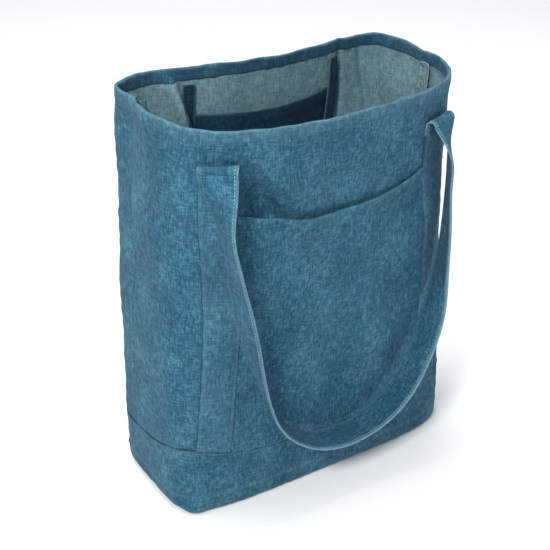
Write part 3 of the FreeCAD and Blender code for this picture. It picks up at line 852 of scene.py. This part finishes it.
def band_bump(s):
    """How far the base band's top rides out over the ends of the four strap bands."""
    over = 0.0
    for face in FACES:
        for sign in (-1, 1):
            beside = np.abs(s - band_s(face, sign, 0.0, BASE_SEAM_HEIGHT))
            over = over + smooth((STRAP_WIDTH / 2.0 + BAND_RIDE_MARGIN - beside) / BAND_RIDE_EDGE)
    return BAND_RIDE * over


# ---------------------------------------------------------------- pockets

BAND_FOOT_POWER = 1.3
# The front pocket: its rough size, how far it reaches below the base seam, and its mouth, which
# sags between its ends and rises in one soft hill near the left end.
POCKET_WIDTH = 0.195
POCKET_TALL = 0.235
POCKET_UNDER_BASE = 0.008
POCKET_MOUTH_POWER = 0.7
POCKET_MOUTH_HILL = ((0.0030, 0.20, 0.11),)
POCKET_MOUTH_LIFT = 0.0008
# How far the front pocket stands off the panel, with sizes in metres and places in shares.
POCKET_SEWN = 0.03
POCKET_ACROSS_POWER = 0.8
POCKET_SAG = 0.0022
POCKET_SAG_FROM = 0.150
POCKET_GAPE = ((0.0070, 0.19, 0.13),)
POCKET_GAPE_FROM = 0.250
POCKET_GAPE_RISE = 0.045
POCKET_BELLY = 0.0012
POCKET_BELLY_FROM = 0.07
POCKET_BELLY_RISE = 0.06
POCKET_BRIDGE_EDGE = 0.06
POCKET_HEM_THICKNESS = 0.0012
POCKET_STITCH_ABOVE = 0.0012
POCKET_DENT = ((-0.0004, 0.0, 0.0012),)
POCKET_WEAR = ((0.14, 0.0, 0.0022),)
INNER_POCKET_HEM_THICKNESS = 0.001
INNER_POCKET_STITCH_ABOVE = 0.001
INNER_POCKET_WEAR = ((0.20, 0.0, 0.002),)
MOUTH_ROUNDING = 0.0014
TAPE_STEP = 0.0015
TAPE_INSIDE = 0.001
TAPE_HALF_THICKNESS = 0.0008
TAPE_WEAR = ((0.3, 0.0, 0.001),)


def band_centre(face, sign, z):
    """The middle of a sewn band, which leans a little at its top, and on one side at its foot."""
    low, high = BAND_CENTRES[face][sign]
    z = np.asarray(z)
    place = mix(low, high, smooth((z - BAND_LEAN_HEIGHT) / (BAND_TOP - BAND_LEAN_HEIGHT)))
    foot = np.clip((BAND_FOOT_HEIGHT - z) / (BAND_FOOT_HEIGHT - BASE_SEAM_HEIGHT), 0.0, 1.1)
    return place + (BAND_FOOT_SHIFT[sign] if face == "front" else 0.0) * foot ** BAND_FOOT_POWER


def pocket_s(u, z):
    """The distance round the bag of a place across the front pocket, which fills the bands' gap."""
    reach = STRAP_WIDTH / 2.0 - POCKET_TUCK
    return mix(band_centre("front", -1, z) + reach, band_centre("front", 1, z) - reach, u)


def pocket_height(u):
    """The height of the front pocket's mouth, u from 0 at its left to 1 at its right."""
    across = np.sin(np.pi * np.clip(u, 0.0, 1.0)) ** POCKET_MOUTH_POWER
    sagging = mix(POCKET_MOUTH_SIDE, POCKET_MOUTH_MIDDLE, across)
    return sagging + hills(u, POCKET_MOUTH_HILL) + POCKET_MOUTH_LIFT


def pocket_out(u, z):
    """How far the front pocket stands off the panel: it gapes most near its left end."""
    inside = np.clip((u - POCKET_SEWN) / (1.0 - 2.0 * POCKET_SEWN), 0.0, 1.0)
    across = np.sin(np.pi * inside) ** POCKET_ACROSS_POWER
    sag = POCKET_SAG * smooth((z - POCKET_SAG_FROM) / (POCKET_MOUTH_MIDDLE - POCKET_SAG_FROM))
    gape = hills(u, POCKET_GAPE) * smooth((z - POCKET_GAPE_FROM) / POCKET_GAPE_RISE)
    belly = POCKET_BELLY * smooth((z - POCKET_BELLY_FROM) / POCKET_BELLY_RISE)
    hollow = soft_fold(pocket_s(u, z), z, *HOLLOW)
    bridge = POCKET_BRIDGE * smooth(inside / POCKET_BRIDGE_EDGE) * hollow
    return GAP + across * (sag + gape + belly) - bridge


def front_pocket():
    across = finer(0.0, POCKET_WIDTH, STEP_ACROSS) / POCKET_WIDTH
    up = finer(0.0, POCKET_TALL, STEP_UP, HEMMED_EDGE_PLACES) / POCKET_TALL
    u = np.broadcast_to(across[None, :], (len(up), len(across)))
    mouth = pocket_height(u)
    z = mix(BASE_SEAM_HEIGHT - POCKET_UNDER_BASE, mouth, up[:, None])
    s = pocket_s(u, z)
    below = mouth - z
    hem = smooth((POCKET_HEM_DEPTH + HEM_END / 2.0 - below) / HEM_END)
    half = (CLOTH + POCKET_HEM_THICKNESS * hem) / 2.0
    out = pocket_out(u, z) + half + hills(below - POCKET_HEM_DEPTH + POCKET_STITCH_ABOVE, POCKET_DENT)
    out = out - tucked(s, z, *POCKET_UNDER)
    full = rounded(below, MOUTH_ROUNDING)
    piece = shell(
        "front_pocket_cloth", skin(s, z, out + half * full), skin(s, z, out - half * full),
        np.stack([s, z], axis=-1), [BODY, WRONG_SIDE], hills(below, POCKET_WEAR), offset=(1.31, 0.77),
    )
    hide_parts("front_pocket")
    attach(piece, "bag")
    return piece


def inner_pocket_distance(u):
    """The distance from the back's middle of a place across the inner pocket."""
    return INNER_POCKET_CENTRE + mix(-INNER_POCKET_HALF_WIDTH, INNER_POCKET_HALF_WIDTH, u)


def inner_pocket_out(u, z):
    """How far the inner pocket stands off the bag's outline, bulging inwards at its mouth."""
    up = smooth((z - INNER_POCKET_BOTTOM) / (INNER_POCKET_MOUTH - INNER_POCKET_BOTTOM))
    return -CLOTH - GAP - INNER_POCKET_BULGE * np.sin(np.pi * np.clip(u, 0.0, 1.0)) * up


def inner_pocket():
    width = 2.0 * INNER_POCKET_HALF_WIDTH
    across = finer(0.0, width, INNER_STEP) / width
    heights = finer(INNER_POCKET_BOTTOM, INNER_POCKET_MOUTH, INNER_STEP, HEMMED_EDGE_PLACES)
    z = np.broadcast_to(heights[:, None], (len(heights), len(across)))
    u = np.broadcast_to(across[None, :], z.shape)
    distance = inner_pocket_distance(u)
    s = back_distance(distance, z)
    below = INNER_POCKET_MOUTH - z
    hem = smooth((POCKET_HEM_DEPTH + HEM_END / 2.0 - below) / HEM_END)
    half = (CLOTH + INNER_POCKET_HEM_THICKNESS * hem) / 2.0
    out = inner_pocket_out(u, z) - half
    full = rounded(below, MOUTH_ROUNDING)
    # The pocket's cloth carries painted shade.
    piece = shell(
        "inner_pocket_cloth", skin(s, z, out - half * full), skin(s, z, out + half * full),
        np.stack([distance, z], axis=-1), [POCKET_PAINTED_SHADE], hills(below, INNER_POCKET_WEAR), offset=(2.3, 1.1),
    )
    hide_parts("inner_pocket")
    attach(piece, "bag")
    return piece


def tape_middle(sign):
    """The distance from the back's middle of one binding tape's middle."""
    reach = INNER_POCKET_HALF_WIDTH + GAP + TAPE_WIDTH / 2.0 - TAPE_OVERLAP
    return INNER_POCKET_CENTRE + sign * reach


def inner_tape(side, sign):
    across = finer(-TAPE_WIDTH / 2.0, TAPE_WIDTH / 2.0, TAPE_STEP)
    heights = finer(INNER_POCKET_BOTTOM, TAPE_TOP, INNER_STEP)
    z = np.broadcast_to(heights[:, None], (len(heights), len(across)))
    wide = np.broadcast_to(across[None, :], z.shape)
    s = back_distance(tape_middle(sign) + wide, z)
    edge = TAPE_WIDTH / 2.0 - np.abs(wide)
    half = TAPE_HALF_THICKNESS * rounded(np.minimum(edge, TAPE_TOP - z), TAPE_HALF_THICKNESS)
    out = -2.0 * CLOTH - 2.0 * GAP - TAPE_INSIDE
    # The tape's cloth carries painted shade.
    piece = shell(
        f"inner_pocket_{side}_tape_cloth", skin(s, z, out - half), skin(s, z, out + half),
        np.stack([wide, z], axis=-1), [POCKET_PAINTED_SHADE], hills(edge, TAPE_WEAR), offset=(3.0 + sign, 0.4),
    )
    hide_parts(f"inner_pocket_{side}_tape")
    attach(piece, "bag")
    return piece


# ---------------------------------------------------------------- straps

# Half of a folded strap's section: distance from its middle and share of its half-thickness, with
# a groove under each line of edge stitching.
HALF_SECTION = (
    (0.0, 1.02), (0.0046, 1.02), (0.0088, 1.0), (0.0112, 1.0), (0.0127, 0.98), (0.0135, 0.66),
    (0.0143, 0.96), (0.0153, 0.90), (0.0161, 0.62), (0.0165, 0.0),
)
SECTION = np.array([(-place, depth) for place, depth in HALF_SECTION[:0:-1]] + list(HALF_SECTION))
SECTION_ACROSS = SECTION[:, 0]
SECTION_DEPTH = SECTION[:, 1] * STRAP_THICKNESS / 2.0
# Rubbing by the distance from a strap's edge, and how much of it the near and far edges get.
STRAP_EDGE_WEAR = ((1.0, 0.0, 0.0012), (0.3, 0.002, 0.002))
HANDLE_WEAR = (0.72, 0.22)
FOLD_WEAR = (0.55, 0.20)
BAND_EDGE_WEAR = (0.16, 0.16)
# A sewn band is faded all over and has painted shade in a thin dark line along its edges, and a fold
# is rubbed on its bend.
BAND_FADE = 0.07
BAND_EDGE_PAINTED_SHADE = ((-0.96, 0.0, 0.0006),)
FOLD_BEND_WEAR = 0.12
FOLD_BEND_PLACE = 0.55
FOLD_BEND_HALF_WIDTH = 0.006
# A band's foot goes under the base cloth, squashed to this share of its thickness less one.
BAND_UNDER_BASE = 0.0012
BAND_SQUASH = 0.6
BAND_SQUASH_FROM = 0.004
BAND_SQUASH_FADE = 0.0045
HANDLE_SAMPLES = 330
FOLD_LEAD = 0.001
FOLD_ROWS = 19


def strap_wear(rows, near, far):
    """Rubbing along a strap's two edges, near being the one where across is greatest."""
    edge = STRAP_WIDTH / 2.0 - np.abs(SECTION_ACROSS)
    wear_and_shade = np.where(SECTION_ACROSS > 0.0, near, far) * hills(edge, STRAP_EDGE_WEAR)
    return np.broadcast_to(wear_and_shade, (rows, len(SECTION_ACROSS)))


def strap_flat(along):
    """Places on a strap's flat cloth."""
    return np.stack(np.broadcast_arrays(SECTION_ACROSS[None, :], along[:, None]), axis=-1)


def band_s(face, sign, across, z):
    """The distance round the bag of a place across a sewn band, whose inner edge is at +across."""
    distance = band_centre(face, sign, z) - sign * across
    return distance if face == "front" else back_distance(distance, z)


def strap_band(face, side, sign):
    """A strap's lower part, sewn to the bag from the base seam up to its fold."""
    heights = finer(0.0, BAND_TOP - BASE_SEAM_HEIGHT, STEP_UP)
    heights = heights / heights[-1]
    across = np.broadcast_to(SECTION_ACROSS[None, :], (len(heights), len(SECTION_ACROSS)))
    low = seam_height(band_s(face, sign, across, BASE_SEAM_HEIGHT))
    z = mix(low - BAND_UNDER_BASE, BAND_TOP, heights[:, None])
    s = band_s(face, sign, across, z)
    squash = 1.0 - BAND_SQUASH * smooth((low + BAND_SQUASH_FROM - z) / BAND_SQUASH_FADE)
    out = (GAP + STRAP_THICKNESS / 2.0) * squash
    outer = skin(s, z, out + SECTION_DEPTH * squash)
    inner = skin(s, z, out - SECTION_DEPTH * squash)
    if (sign > 0) == (face == "front"):
        outer, inner, across, z = (grid[:, ::-1] for grid in (outer, inner, across, z))
    wear_and_shade = BAND_FADE + strap_wear(len(heights), *BAND_EDGE_WEAR)
    # Painted shade: a thin dark line along the band's edges.
    wear_and_shade = wear_and_shade + hills(STRAP_WIDTH / 2.0 - np.abs(across), BAND_EDGE_PAINTED_SHADE)
    piece = shell(
        f"{face}_{side}_strap_band_cloth", outer, inner, np.stack([across, z], axis=-1), [STRAP],
        wear_and_shade, offset=(4.0 + sign + 3.0 * (face == "back"), 0.0),
    )
    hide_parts(f"{face}_{side}_strap_band")
    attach(piece, "bag")


def stand_point(face, distance, z, out):
    """A point off the plain outline, which the handles follow."""
    s = np.array(distance if face == "front" else back_distance(distance, z), float)
    z = np.array(z, float)
    return np.array([*on_ring(s, z), z]) + outward(s, z) * out


def fold_normal(face, sign):
    """The outward direction at the middle of a strap's fold."""
    s = np.array(band_s(face, sign, 0.0, FOLD_HEIGHT), float)
    return outward(s, np.array(FOLD_HEIGHT))


def fold_start(face, sign):
    """The middle and width direction of a handle where it leaves its fold."""
    centre = float(band_centre(face, sign, FOLD_HEIGHT))
    inner = stand_point(face, centre - sign * STRAP_WIDTH / 2.0, FOLD_HEIGHT, FOLD_STAND_OFF)
    outer = stand_point(face, centre + sign * STRAP_WIDTH / 2.0, FOLD_HEIGHT, FOLD_STAND_OFF)
    return (inner + outer) / 2.0, unit(inner - outer)


def handle_path(face):
    """Middles, width directions and face normals down one side of a handle and up the other."""
    rows = [np.concatenate(fold_start(face, -1))]
    flip = np.array([1.0, 1.0 if face == "front" else -1.0, 1.0])
    for distance, z, out, angle in FRONT_STATIONS if face == "front" else BACK_STATIONS:
        turn = math.radians(angle)
        wide = np.array([math.cos(turn), math.sin(turn), 0.0]) * flip
        middle = stand_point(face, distance, z, out) + wide * STRAP_WIDTH / 2.0
        rows.append(np.concatenate([middle, wide]))
    rows.append(np.concatenate(fold_start(face, 1)))
    path = spline(rows, HANDLE_SAMPLES)
    middles, wides = path[:, :3], unit(path[:, 3:])
    ahead = unit(np.gradient(middles, axis=0))
    return middles, wides, unit(np.cross(ahead, wides))


def handle(face):
    """One handle's hanging loop.  Returns the path that it follows."""
    middles, wides, normals = handle_path(face)
    centre = middles[:, None, :] + wides[:, None, :] * SECTION_ACROSS[None, :, None]
    depth = normals[:, None, :] * SECTION_DEPTH[None, :, None]
    piece = shell(
        f"{face}_handle_strap", centre - depth, centre + depth, strap_flat(lengths_along(middles)),
        [STRAP], strap_wear(len(middles), *HANDLE_WEAR), offset=(8.0 + 2.0 * (face == "back"), 0.5),
    )
    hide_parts(f"{face}_handle")
    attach(piece, f"{face}_loop")
    return middles, wides, normals


def fold_path(face, sign):
    """Grids of middle points and thickness directions where a band folds over into its handle."""
    end_middle, end_wide = fold_start(face, sign)
    middle_normal = fold_normal(face, sign)
    end_normal = handle_path(face)[2][0 if sign < 0 else -1]
    end_normal = end_normal * (1.0 if end_normal @ middle_normal > 0.0 else -1.0)
    inner_out = GAP + STRAP_THICKNESS / 2.0
    radius = (FOLD_STAND_OFF - inner_out) / 2.0
    centres, thicks = [], []
    lead = [(mix(BAND_TOP - FOLD_LEAD, FOLD_HEIGHT, share), 0.0) for share in (0.0, 0.5)]
    for z, turn in lead + [(FOLD_HEIGHT, turn) for turn in np.linspace(0.0, np.pi, FOLD_ROWS)]:
        height = z + radius * math.sin(turn)
        out = inner_out + radius * (1.0 - math.cos(turn))
        s = band_s(face, sign, SECTION_ACROSS, height)
        normal = outward(s, np.full_like(s, height))
        curved = skin(s, height, out)
        straight = end_middle + middle_normal * (out - FOLD_STAND_OFF)
        straight = straight + end_wide * SECTION_ACROSS[:, None] + UP * (height - FOLD_HEIGHT)
        share = float(smooth(turn / np.pi))
        centres.append(mix(curved, straight, share))
        radial = unit(mix(normal, middle_normal, share) * -math.cos(turn) + UP * math.sin(turn))
        late = float(smooth(2.0 * turn / np.pi - 1.0))
        thicks.append(unit(mix(radial, np.broadcast_to(end_normal, radial.shape), late)))
    return np.array(centres), np.array(thicks)


def fold(face, side, sign):
    """The fold between a sewn band and its handle."""
    centres, thicks = fold_path(face, sign)
    depth = thicks * SECTION_DEPTH[None, :, None]
    along = lengths_along(centres[:, len(SECTION_ACROSS) // 2])
    flat = strap_flat(along)
    outer, inner = centres + depth, centres - depth
    edges = strap_wear(len(centres), *FOLD_WEAR)
    if (sign < 0) == (face == "front"):
        outer, inner, flat, edges = (grid[:, ::-1] for grid in (outer, inner, flat, edges))
    along = along[:, None]
    bend = FOLD_BEND_WEAR * bump(along - along[-1] * FOLD_BEND_PLACE, FOLD_BEND_HALF_WIDTH)
    wear_and_shade = edges + bend + BAND_FADE * (1.0 - smooth(along / along[-1]))
    piece = shell(
        f"{face}_{side}_strap_fold", outer, inner, flat, [STRAP], wear_and_shade, offset=(12.0 + sign, 0.2)
    )
    blend_fold(piece)


def blend_fold(piece):
    """Bakes a piece's placement into its points."""
    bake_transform(piece)


# ---------------------------------------------------------------- stitches

STITCH_LENGTH = 0.0023
STITCH_PITCH = 0.0031
STITCH_WIDTH = 0.00075
STITCH_HEIGHT = 0.0006
STITCH_SINK = 0.00022
# One stitch's rings: place along it and share of its width.  Its ends bow down into the cloth.
STITCH_RINGS = ((-0.5, 0.35), (-0.36, 0.85), (0.0, 1.0), (0.36, 0.85), (0.5, 0.35))
STITCH_SIDES = 6
STITCH_BOW = 1.6
STITCH_SLANT = 0.05
STITCH_LOOK_AHEAD = 0.0006
# How far lines of thread lie from seams and edges, and how far off the cloth.
SEAM_MARGIN = 0.003
RIM_THREAD_OUT = -0.0003
BASE_THREAD_OUT = 0.0002
BASE_THREAD_RIDE = 0.8
POCKET_THREAD_OUT = 0.0004
TAPE_THREAD_OUT = 0.0018
BAND_THREAD_SINK = 0.0004
BAND_CROSS_HALF = 0.013
BAND_CROSS_BELOW = 0.012
# The depth of the threads in the grooves of a strap, as a share of its half-thickness.
GROOVE_DEPTH = 0.72


def stitch_template():
    """One stitch's points along, across and up, its side faces and its end faces."""
    points, faces = [], []
    for along, size in STITCH_RINGS:
        arch = STITCH_HEIGHT * (0.5 - STITCH_BOW * along * along) - STITCH_SINK
        for side in range(STITCH_SIDES):
            turn = 2.0 * math.pi * side / STITCH_SIDES
            across = math.cos(turn) * STITCH_WIDTH / 2.0 * size
            up = arch + math.sin(turn) * STITCH_HEIGHT / 2.0 * size
            points.append((along * STITCH_LENGTH, across, up))
    for ring in range(len(STITCH_RINGS) - 1):
        for side in range(STITCH_SIDES):
            after = (side + 1) % STITCH_SIDES
            low, high = ring * STITCH_SIDES, (ring + 1) * STITCH_SIDES
            faces.append((low + side, high + side, high + after, low + after))
    last = len(points) - 1
    caps = [tuple(range(STITCH_SIDES)), tuple(range(last, last - STITCH_SIDES, -1))]
    return np.array(points), faces + caps


def stitches(name, lines, threads, shades=None):
    """Separate raised stitches along lines, each a pair of points and face normals."""
    template, template_faces = stitch_template()
    points, faces, numbers = [], [], []
    shades = shades or [0] * len(lines)
    random = np.random.default_rng(len(name))
    for (line, normals), shade in zip(lines, shades):
        along = lengths_along(line)
        count = int(along[-1] / STITCH_PITCH)
        places = (np.arange(count) + 0.5) * along[-1] / count

        def at(values, shift=0.0):
            columns = [np.interp(places + shift, along, column) for column in values.T]
            return np.stack(columns, axis=1)

        up = unit(at(normals))
        ahead = unit(at(line, STITCH_LOOK_AHEAD) - at(line, -STITCH_LOOK_AHEAD))
        across = unit(np.cross(up, ahead))
        ahead = unit(ahead + across * random.normal(0.0, STITCH_SLANT, (count, 1)))
        across = unit(np.cross(up, ahead))
        ways = np.stack([ahead, across, up], axis=1)
        for here, way in zip(at(line), ways):
            start = len(points) * len(template)
            points.append(here + template @ way)
            faces += [tuple(start + corner for corner in face) for face in template_faces]
            numbers += [shade] * len(template_faces)
    piece = new_object(name, np.concatenate(points), faces, threads, numbers)
    return piece


def skin_line(s, z, out):
    """A line on the cloth with its outward directions."""
    s, z, out = (np.asarray(value, float) for value in np.broadcast_arrays(s, z, out))
    return skin(s, z, out), outward(s, z)


def lining_line(distance, z, out):
    """The same on the back panel's lining, with directions into the bag."""
    line, normals = skin_line(back_distance(distance, z), z, out)
    return line, -normals


def ride_stitches(name, lines, body, node, threads, shades=None):
    piece = stitches(name, lines, threads, shades)
    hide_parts(node)
    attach(piece, body)


def panel_stitches():
    """The rim's hem, the base seam and the side seams."""
    names = ("left", "right", "left_again")
    fine = np.linspace(0.0, 1.0, 400)
    rim = []
    for first, second in zip(names[:-1], names[1:]):
        start = seam(first, HEM_STITCH_HEIGHT) + SEAM_MARGIN
        end = seam(second, HEM_STITCH_HEIGHT) - SEAM_MARGIN
        rim.append(skin_line(mix(start, end, fine), HEM_STITCH_HEIGHT, RIM_THREAD_OUT))
    ride_stitches("rim_stitches", rim, "bag", "rim_stitching", [DULL_THREAD])
    s = round_the_bag(BASE_SEAM_HEIGHT, np.linspace(0.0, 1.0, 900))
    base_out = BASE_THREAD_OUT + BASE_THREAD_RIDE * band_bump(s)
    base = [skin_line(s, seam_height(s) - EDGE_STITCH_INSET, base_out)]
    ride_stitches("base_stitches", base, "bag", "base_stitching", [DULL_THREAD])
    z = np.linspace(BASE_SEAM_HEIGHT + 2.0 * SEAM_MARGIN, HEIGHT - HEM_DEPTH, 300)
    sides = [skin_line(seam(name, z) + SEAM_MARGIN, z, 0.0) for name in names[:2]]
    ride_stitches("side_seam_stitches", sides, "bag", "side_seam_stitching", [DULL_THREAD])


def pocket_stitches():
    """The hems of both pockets and the tapes of the inner one."""
    u = np.linspace(0.04, 0.96, 400)
    z = pocket_height(u) - POCKET_HEM_DEPTH + POCKET_STITCH_ABOVE
    pocket = [skin_line(pocket_s(u, z), z, pocket_out(u, z) + CLOTH + POCKET_THREAD_OUT)]
    ride_stitches("front_pocket_stitches", pocket, "bag", "front_pocket_stitching", [DULL_THREAD])
    u = np.linspace(0.02, 0.98, 300)
    z = np.full_like(u, INNER_POCKET_MOUTH - POCKET_HEM_DEPTH + INNER_POCKET_STITCH_ABOVE)
    out = inner_pocket_out(u, z) - CLOTH - POCKET_THREAD_OUT
    lines = [lining_line(inner_pocket_distance(u), z, out)]
    z = np.linspace(INNER_POCKET_BOTTOM + SEAM_MARGIN, TAPE_TOP - SEAM_MARGIN, 200)
    for sign in (-1, 1):
        lines.append(lining_line(tape_middle(sign), z, -2.0 * CLOTH - 2.0 * GAP - TAPE_THREAD_OUT))
    # The inner pocket's stitches use the thread with painted shade.
    ride_stitches("inner_pocket_stitches", lines, "bag", "inner_pocket_stitching", [THREAD_PAINTED_SHADE])


def band_stitches(face):
    """Both edges of a face's sewn bands, and the line across each below its fold."""
    lines = []
    for sign in (-1, 1):
        low = float(seam_height(band_s(face, sign, 0.0, BASE_SEAM_HEIGHT)))
        z = np.linspace(low + SEAM_MARGIN, BAND_TOP, 300)
        for across in (-STITCH_ACROSS, STITCH_ACROSS):
            out = GAP + STRAP_THICKNESS - BAND_THREAD_SINK
            lines.append(skin_line(band_s(face, sign, across, z), z, out))
        across = np.linspace(-BAND_CROSS_HALF, BAND_CROSS_HALF, 40)
        level = np.full_like(across, BAND_TOP - BAND_CROSS_BELOW)
        lines.append(skin_line(band_s(face, sign, across, level), level, GAP + STRAP_THICKNESS))
    ride_stitches(f"{face}_band_stitches", lines, "bag", f"{face}_band_stitching", [DULL_THREAD])


def handle_stitches(face, path):
    """Both edges of a handle on both of its faces, paler on the edge with the greater across."""
    middles, wides, normals = path
    lines = []
    for across in (-STITCH_ACROSS, STITCH_ACROSS):
        for up in (-1.0, 1.0):
            line = middles + wides * across + normals * up * (STRAP_THICKNESS / 2.0 * GROOVE_DEPTH)
            lines.append((line, normals * up))
    ride_stitches(
        f"{face}_handle_stitches", lines, f"{face}_loop", f"{face}_handle_stitching",
        [THREAD, DULL_THREAD], [1, 1, 0, 0],
    )


def fold_stitches(face, side, sign):
    """The same lines on a fold."""
    centres, thicks = fold_path(face, sign)
    lines = []
    for across in (-STITCH_ACROSS, STITCH_ACROSS):
        column = int(np.argmin(np.abs(SECTION_ACROSS - across)))
        for up in (-1.0, 1.0):
            thick = thicks[:, column] * up
            line = centres[:, column] + thick * STRAP_THICKNESS / 2.0 * GROOVE_DEPTH
            lines.append((line, thick))
    piece = stitches(f"{face}_{side}_fold_stitches", lines, [THREAD, DULL_THREAD], [1, 1, 0, 0])
    blend_fold(piece)


# ---------------------------------------------------------------- raw edges inside

# The side seam allowances, which fray and curl at their free edges.
ALLOWANCE_SEEDS = {"left": 31, "right": 32}
# The left allowance uses the raw edge with painted shade.
ALLOWANCE_CLOTHS = {"left": RAW_PAINTED_SHADE, "right": RAW}
ALLOWANCE_BELOW_RIM = {"left": 0.004, "right": 0.011}
ALLOWANCE_LEAN = {"left": 0.002, "right": -0.005}
ALLOWANCE_ABOVE_SEAM = 0.012
ALLOWANCE_OUT = 0.0004
ALLOWANCE_THICKNESS = 0.0014
ALLOWANCE_CURL = 0.0012
FRAYING = 0.0006
FRAY_LENGTHS = (0.004, 0.030)
LOOSENESS = 1.2
LEAST_LOOSENESS = 0.2
# The left one stands out from the lining: how narrow it looks from inside, and how far it stands.
LEFT_NARROWING = 0.30
LEFT_STAND = 0.0095
LEFT_STAND_WAVE = 0.0008
# The base seam's allowance.
BASE_ALLOWANCE_SEED = 33
BASE_ALLOWANCE_BELOW = 0.004
BASE_ALLOWANCE_ABOVE = 0.009
BASE_ALLOWANCE_OUT = 0.003
ENDS_APART = 0.001
RAW_FLAT = (0.02, 0.3)
RAW_EDGE_WEAR = ((0.6, 0.0, 0.06),)


def frayed_strip(name, place, columns, rows, replaced, cloth):
    """A raw strip of cloth.  place(across, along, side) gives its two faces."""
    across, along = np.meshgrid(np.linspace(0.0, 1.0, columns), np.linspace(0.0, 1.0, rows))
    flat = np.stack([across, along], axis=-1) * RAW_FLAT
    wear_and_shade = hills(np.minimum(across, 1.0 - across), RAW_EDGE_WEAR)
    piece = shell(
        name, place(across, along, 0), place(across, along, 1), flat, [cloth], wear_and_shade,
        offset=(20.0 + len(name), 0.0),
    )
    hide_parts(replaced)
    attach(piece, "bag")


def side_allowance(side):
    low, high = BASE_SEAM_HEIGHT + ALLOWANCE_ABOVE_SEAM, HEIGHT - ALLOWANCE_BELOW_RIM[side]
    ragged = waves(ALLOWANCE_SEEDS[side], 10, *FRAY_LENGTHS)

    def place(across, along, face):
        z = mix(low, high, along)
        free = np.abs(across - 0.5) * 2.0
        here = np.stack([along * 0.3, across * 0.003, 0.0 * z], axis=-1)
        wide = SIDE_ALLOWANCE_WIDTH * (across - 0.5) + FRAYING * ragged(here) * free
        wide = wide + ALLOWANCE_LEAN[side]
        loose = np.maximum(LOOSENESS + ragged(2.0 * here), LEAST_LOOSENESS)
        out = -CLOTH - GAP - ALLOWANCE_OUT - ALLOWANCE_THICKNESS * face
        out = out - ALLOWANCE_CURL * free ** 2 * loose
        if side == "left":
            wide = LEFT_NARROWING * wide
            out = out - (LEFT_STAND + LEFT_STAND_WAVE * ragged(here)) * across
        return skin(seam(side, z) + wide, z, out)

    name = f"{side}_seam_allowance"
    frayed_strip(f"{name}_cloth", place, 9, 150, name, ALLOWANCE_CLOTHS[side])


def base_allowance():
    start, end = round_the_bag(BASE_SEAM_HEIGHT, 0.0), round_the_bag(BASE_SEAM_HEIGHT, 1.0)
    ragged = waves(BASE_ALLOWANCE_SEED, 10, *FRAY_LENGTHS)

    def place(across, along, face):
        s = mix(start + ENDS_APART, end - ENDS_APART, along)
        here = np.stack([along * 0.8, 0.0 * along, 0.0 * along], axis=-1)
        low = BASE_SEAM_HEIGHT - BASE_ALLOWANCE_BELOW
        high = BASE_SEAM_HEIGHT + BASE_ALLOWANCE_ABOVE + FRAYING * ragged(here)
        out = -CLOTH - BASE_ALLOWANCE_OUT - ALLOWANCE_THICKNESS * face
        return skin(s, mix(low, high, across), out)

    frayed_strip("base_seam_allowance_cloth", place, 7, 420, "base_seam_allowance", RAW)


# ---------------------------------------------------------------- stage

FLOOR_HALF_WIDTH = 6.0
FLOOR_COLOUR = (0.96, 0.96, 0.955, 1.0)
WORLD_COLOUR = (0.93, 0.97, 1.0, 1.0)
WORLD_STRENGTH = 0.58
LIGHT_TARGET = (0.0, 0.0, 0.18)
# Each light's name, place, size and power.
LIGHTS = (
    ("key", (-1.25, -1.05, 1.6), 0.45, 35.0),
    ("fill", (1.6, -1.4, 1.0), 1.6, 3.0),
    ("top", (-0.1, 0.3, 2.0), 0.9, 26.0),
)


def area_light(name, place, size, power):
    """A round lamp that points at the bag."""
    data = bpy.data.lights.new(name, "AREA")
    data.shape = "DISK"
    data.size = size
    data.energy = power
    lamp = bpy.data.objects.new(name, data)
    lamp.location = place
    lamp.rotation_euler = (Vector(LIGHT_TARGET) - Vector(place)).to_track_quat("-Z", "Y").to_euler()
    bpy.context.scene.collection.objects.link(lamp)


def studio():
    bpy.context.scene.view_settings.view_transform = "Standard"
    world = bpy.data.worlds.new("studio")
    bpy.context.scene.world = world
    world.use_nodes = True
    background = world.node_tree.nodes["Background"]
    background.inputs["Color"].default_value = WORLD_COLOUR
    background.inputs["Strength"].default_value = WORLD_STRENGTH
    nodes = Nodes("floor")
    nodes.shader.inputs["Base Color"].default_value = FLOOR_COLOUR
    nodes.shader.inputs["Roughness"].default_value = 0.9
    size = FLOOR_HALF_WIDTH
    corners = [(-size, -size, 0.0), (size, -size, 0.0), (size, size, 0.0), (-size, size, 0.0)]
    mesh = bpy.data.meshes.new("floor")
    mesh.from_pydata(corners, [], [(0, 1, 2, 3)])
    mesh.materials.append(nodes.material)
    floor = bpy.data.objects.new("floor", mesh)
    bpy.context.scene.collection.objects.link(floor)
    for light in LIGHTS:
        area_light(*light)


def camera():
    data = bpy.data.cameras.new("camera")
    data.lens = CAMERA_LENS
    data.sensor_width = 36.0
    eye = bpy.data.objects.new("camera", data)
    eye.location = CAMERA_PLACE
    eye.rotation_euler = (math.radians(90.0 - CAMERA_PITCH), 0.0, math.radians(-CAMERA_HEADING))
    bpy.context.scene.collection.objects.link(eye)
    bpy.context.scene.camera = eye


def build():
    front = body_panel("front_panel_cloth", "left", "right", "front_panel")
    back = body_panel("back_panel_cloth", "right", "left_again", "back_panel")
    base = base_cloth()
    pocket = front_pocket()
    inner = inner_pocket()
    for side, sign in (("left", -1), ("right", 1)):
        inner_tape(side, sign)
        side_allowance(side)
        for face in FACES:
            strap_band(face, side, sign)
            fold(face, side, sign)
            fold_stitches(face, side, sign)
    base_allowance()
    for face in FACES:
        handle_stitches(face, handle(face))
    panel_stitches()
    pocket_stitches()
    for face in FACES:
        band_stitches(face)


camera()
studio()
build()
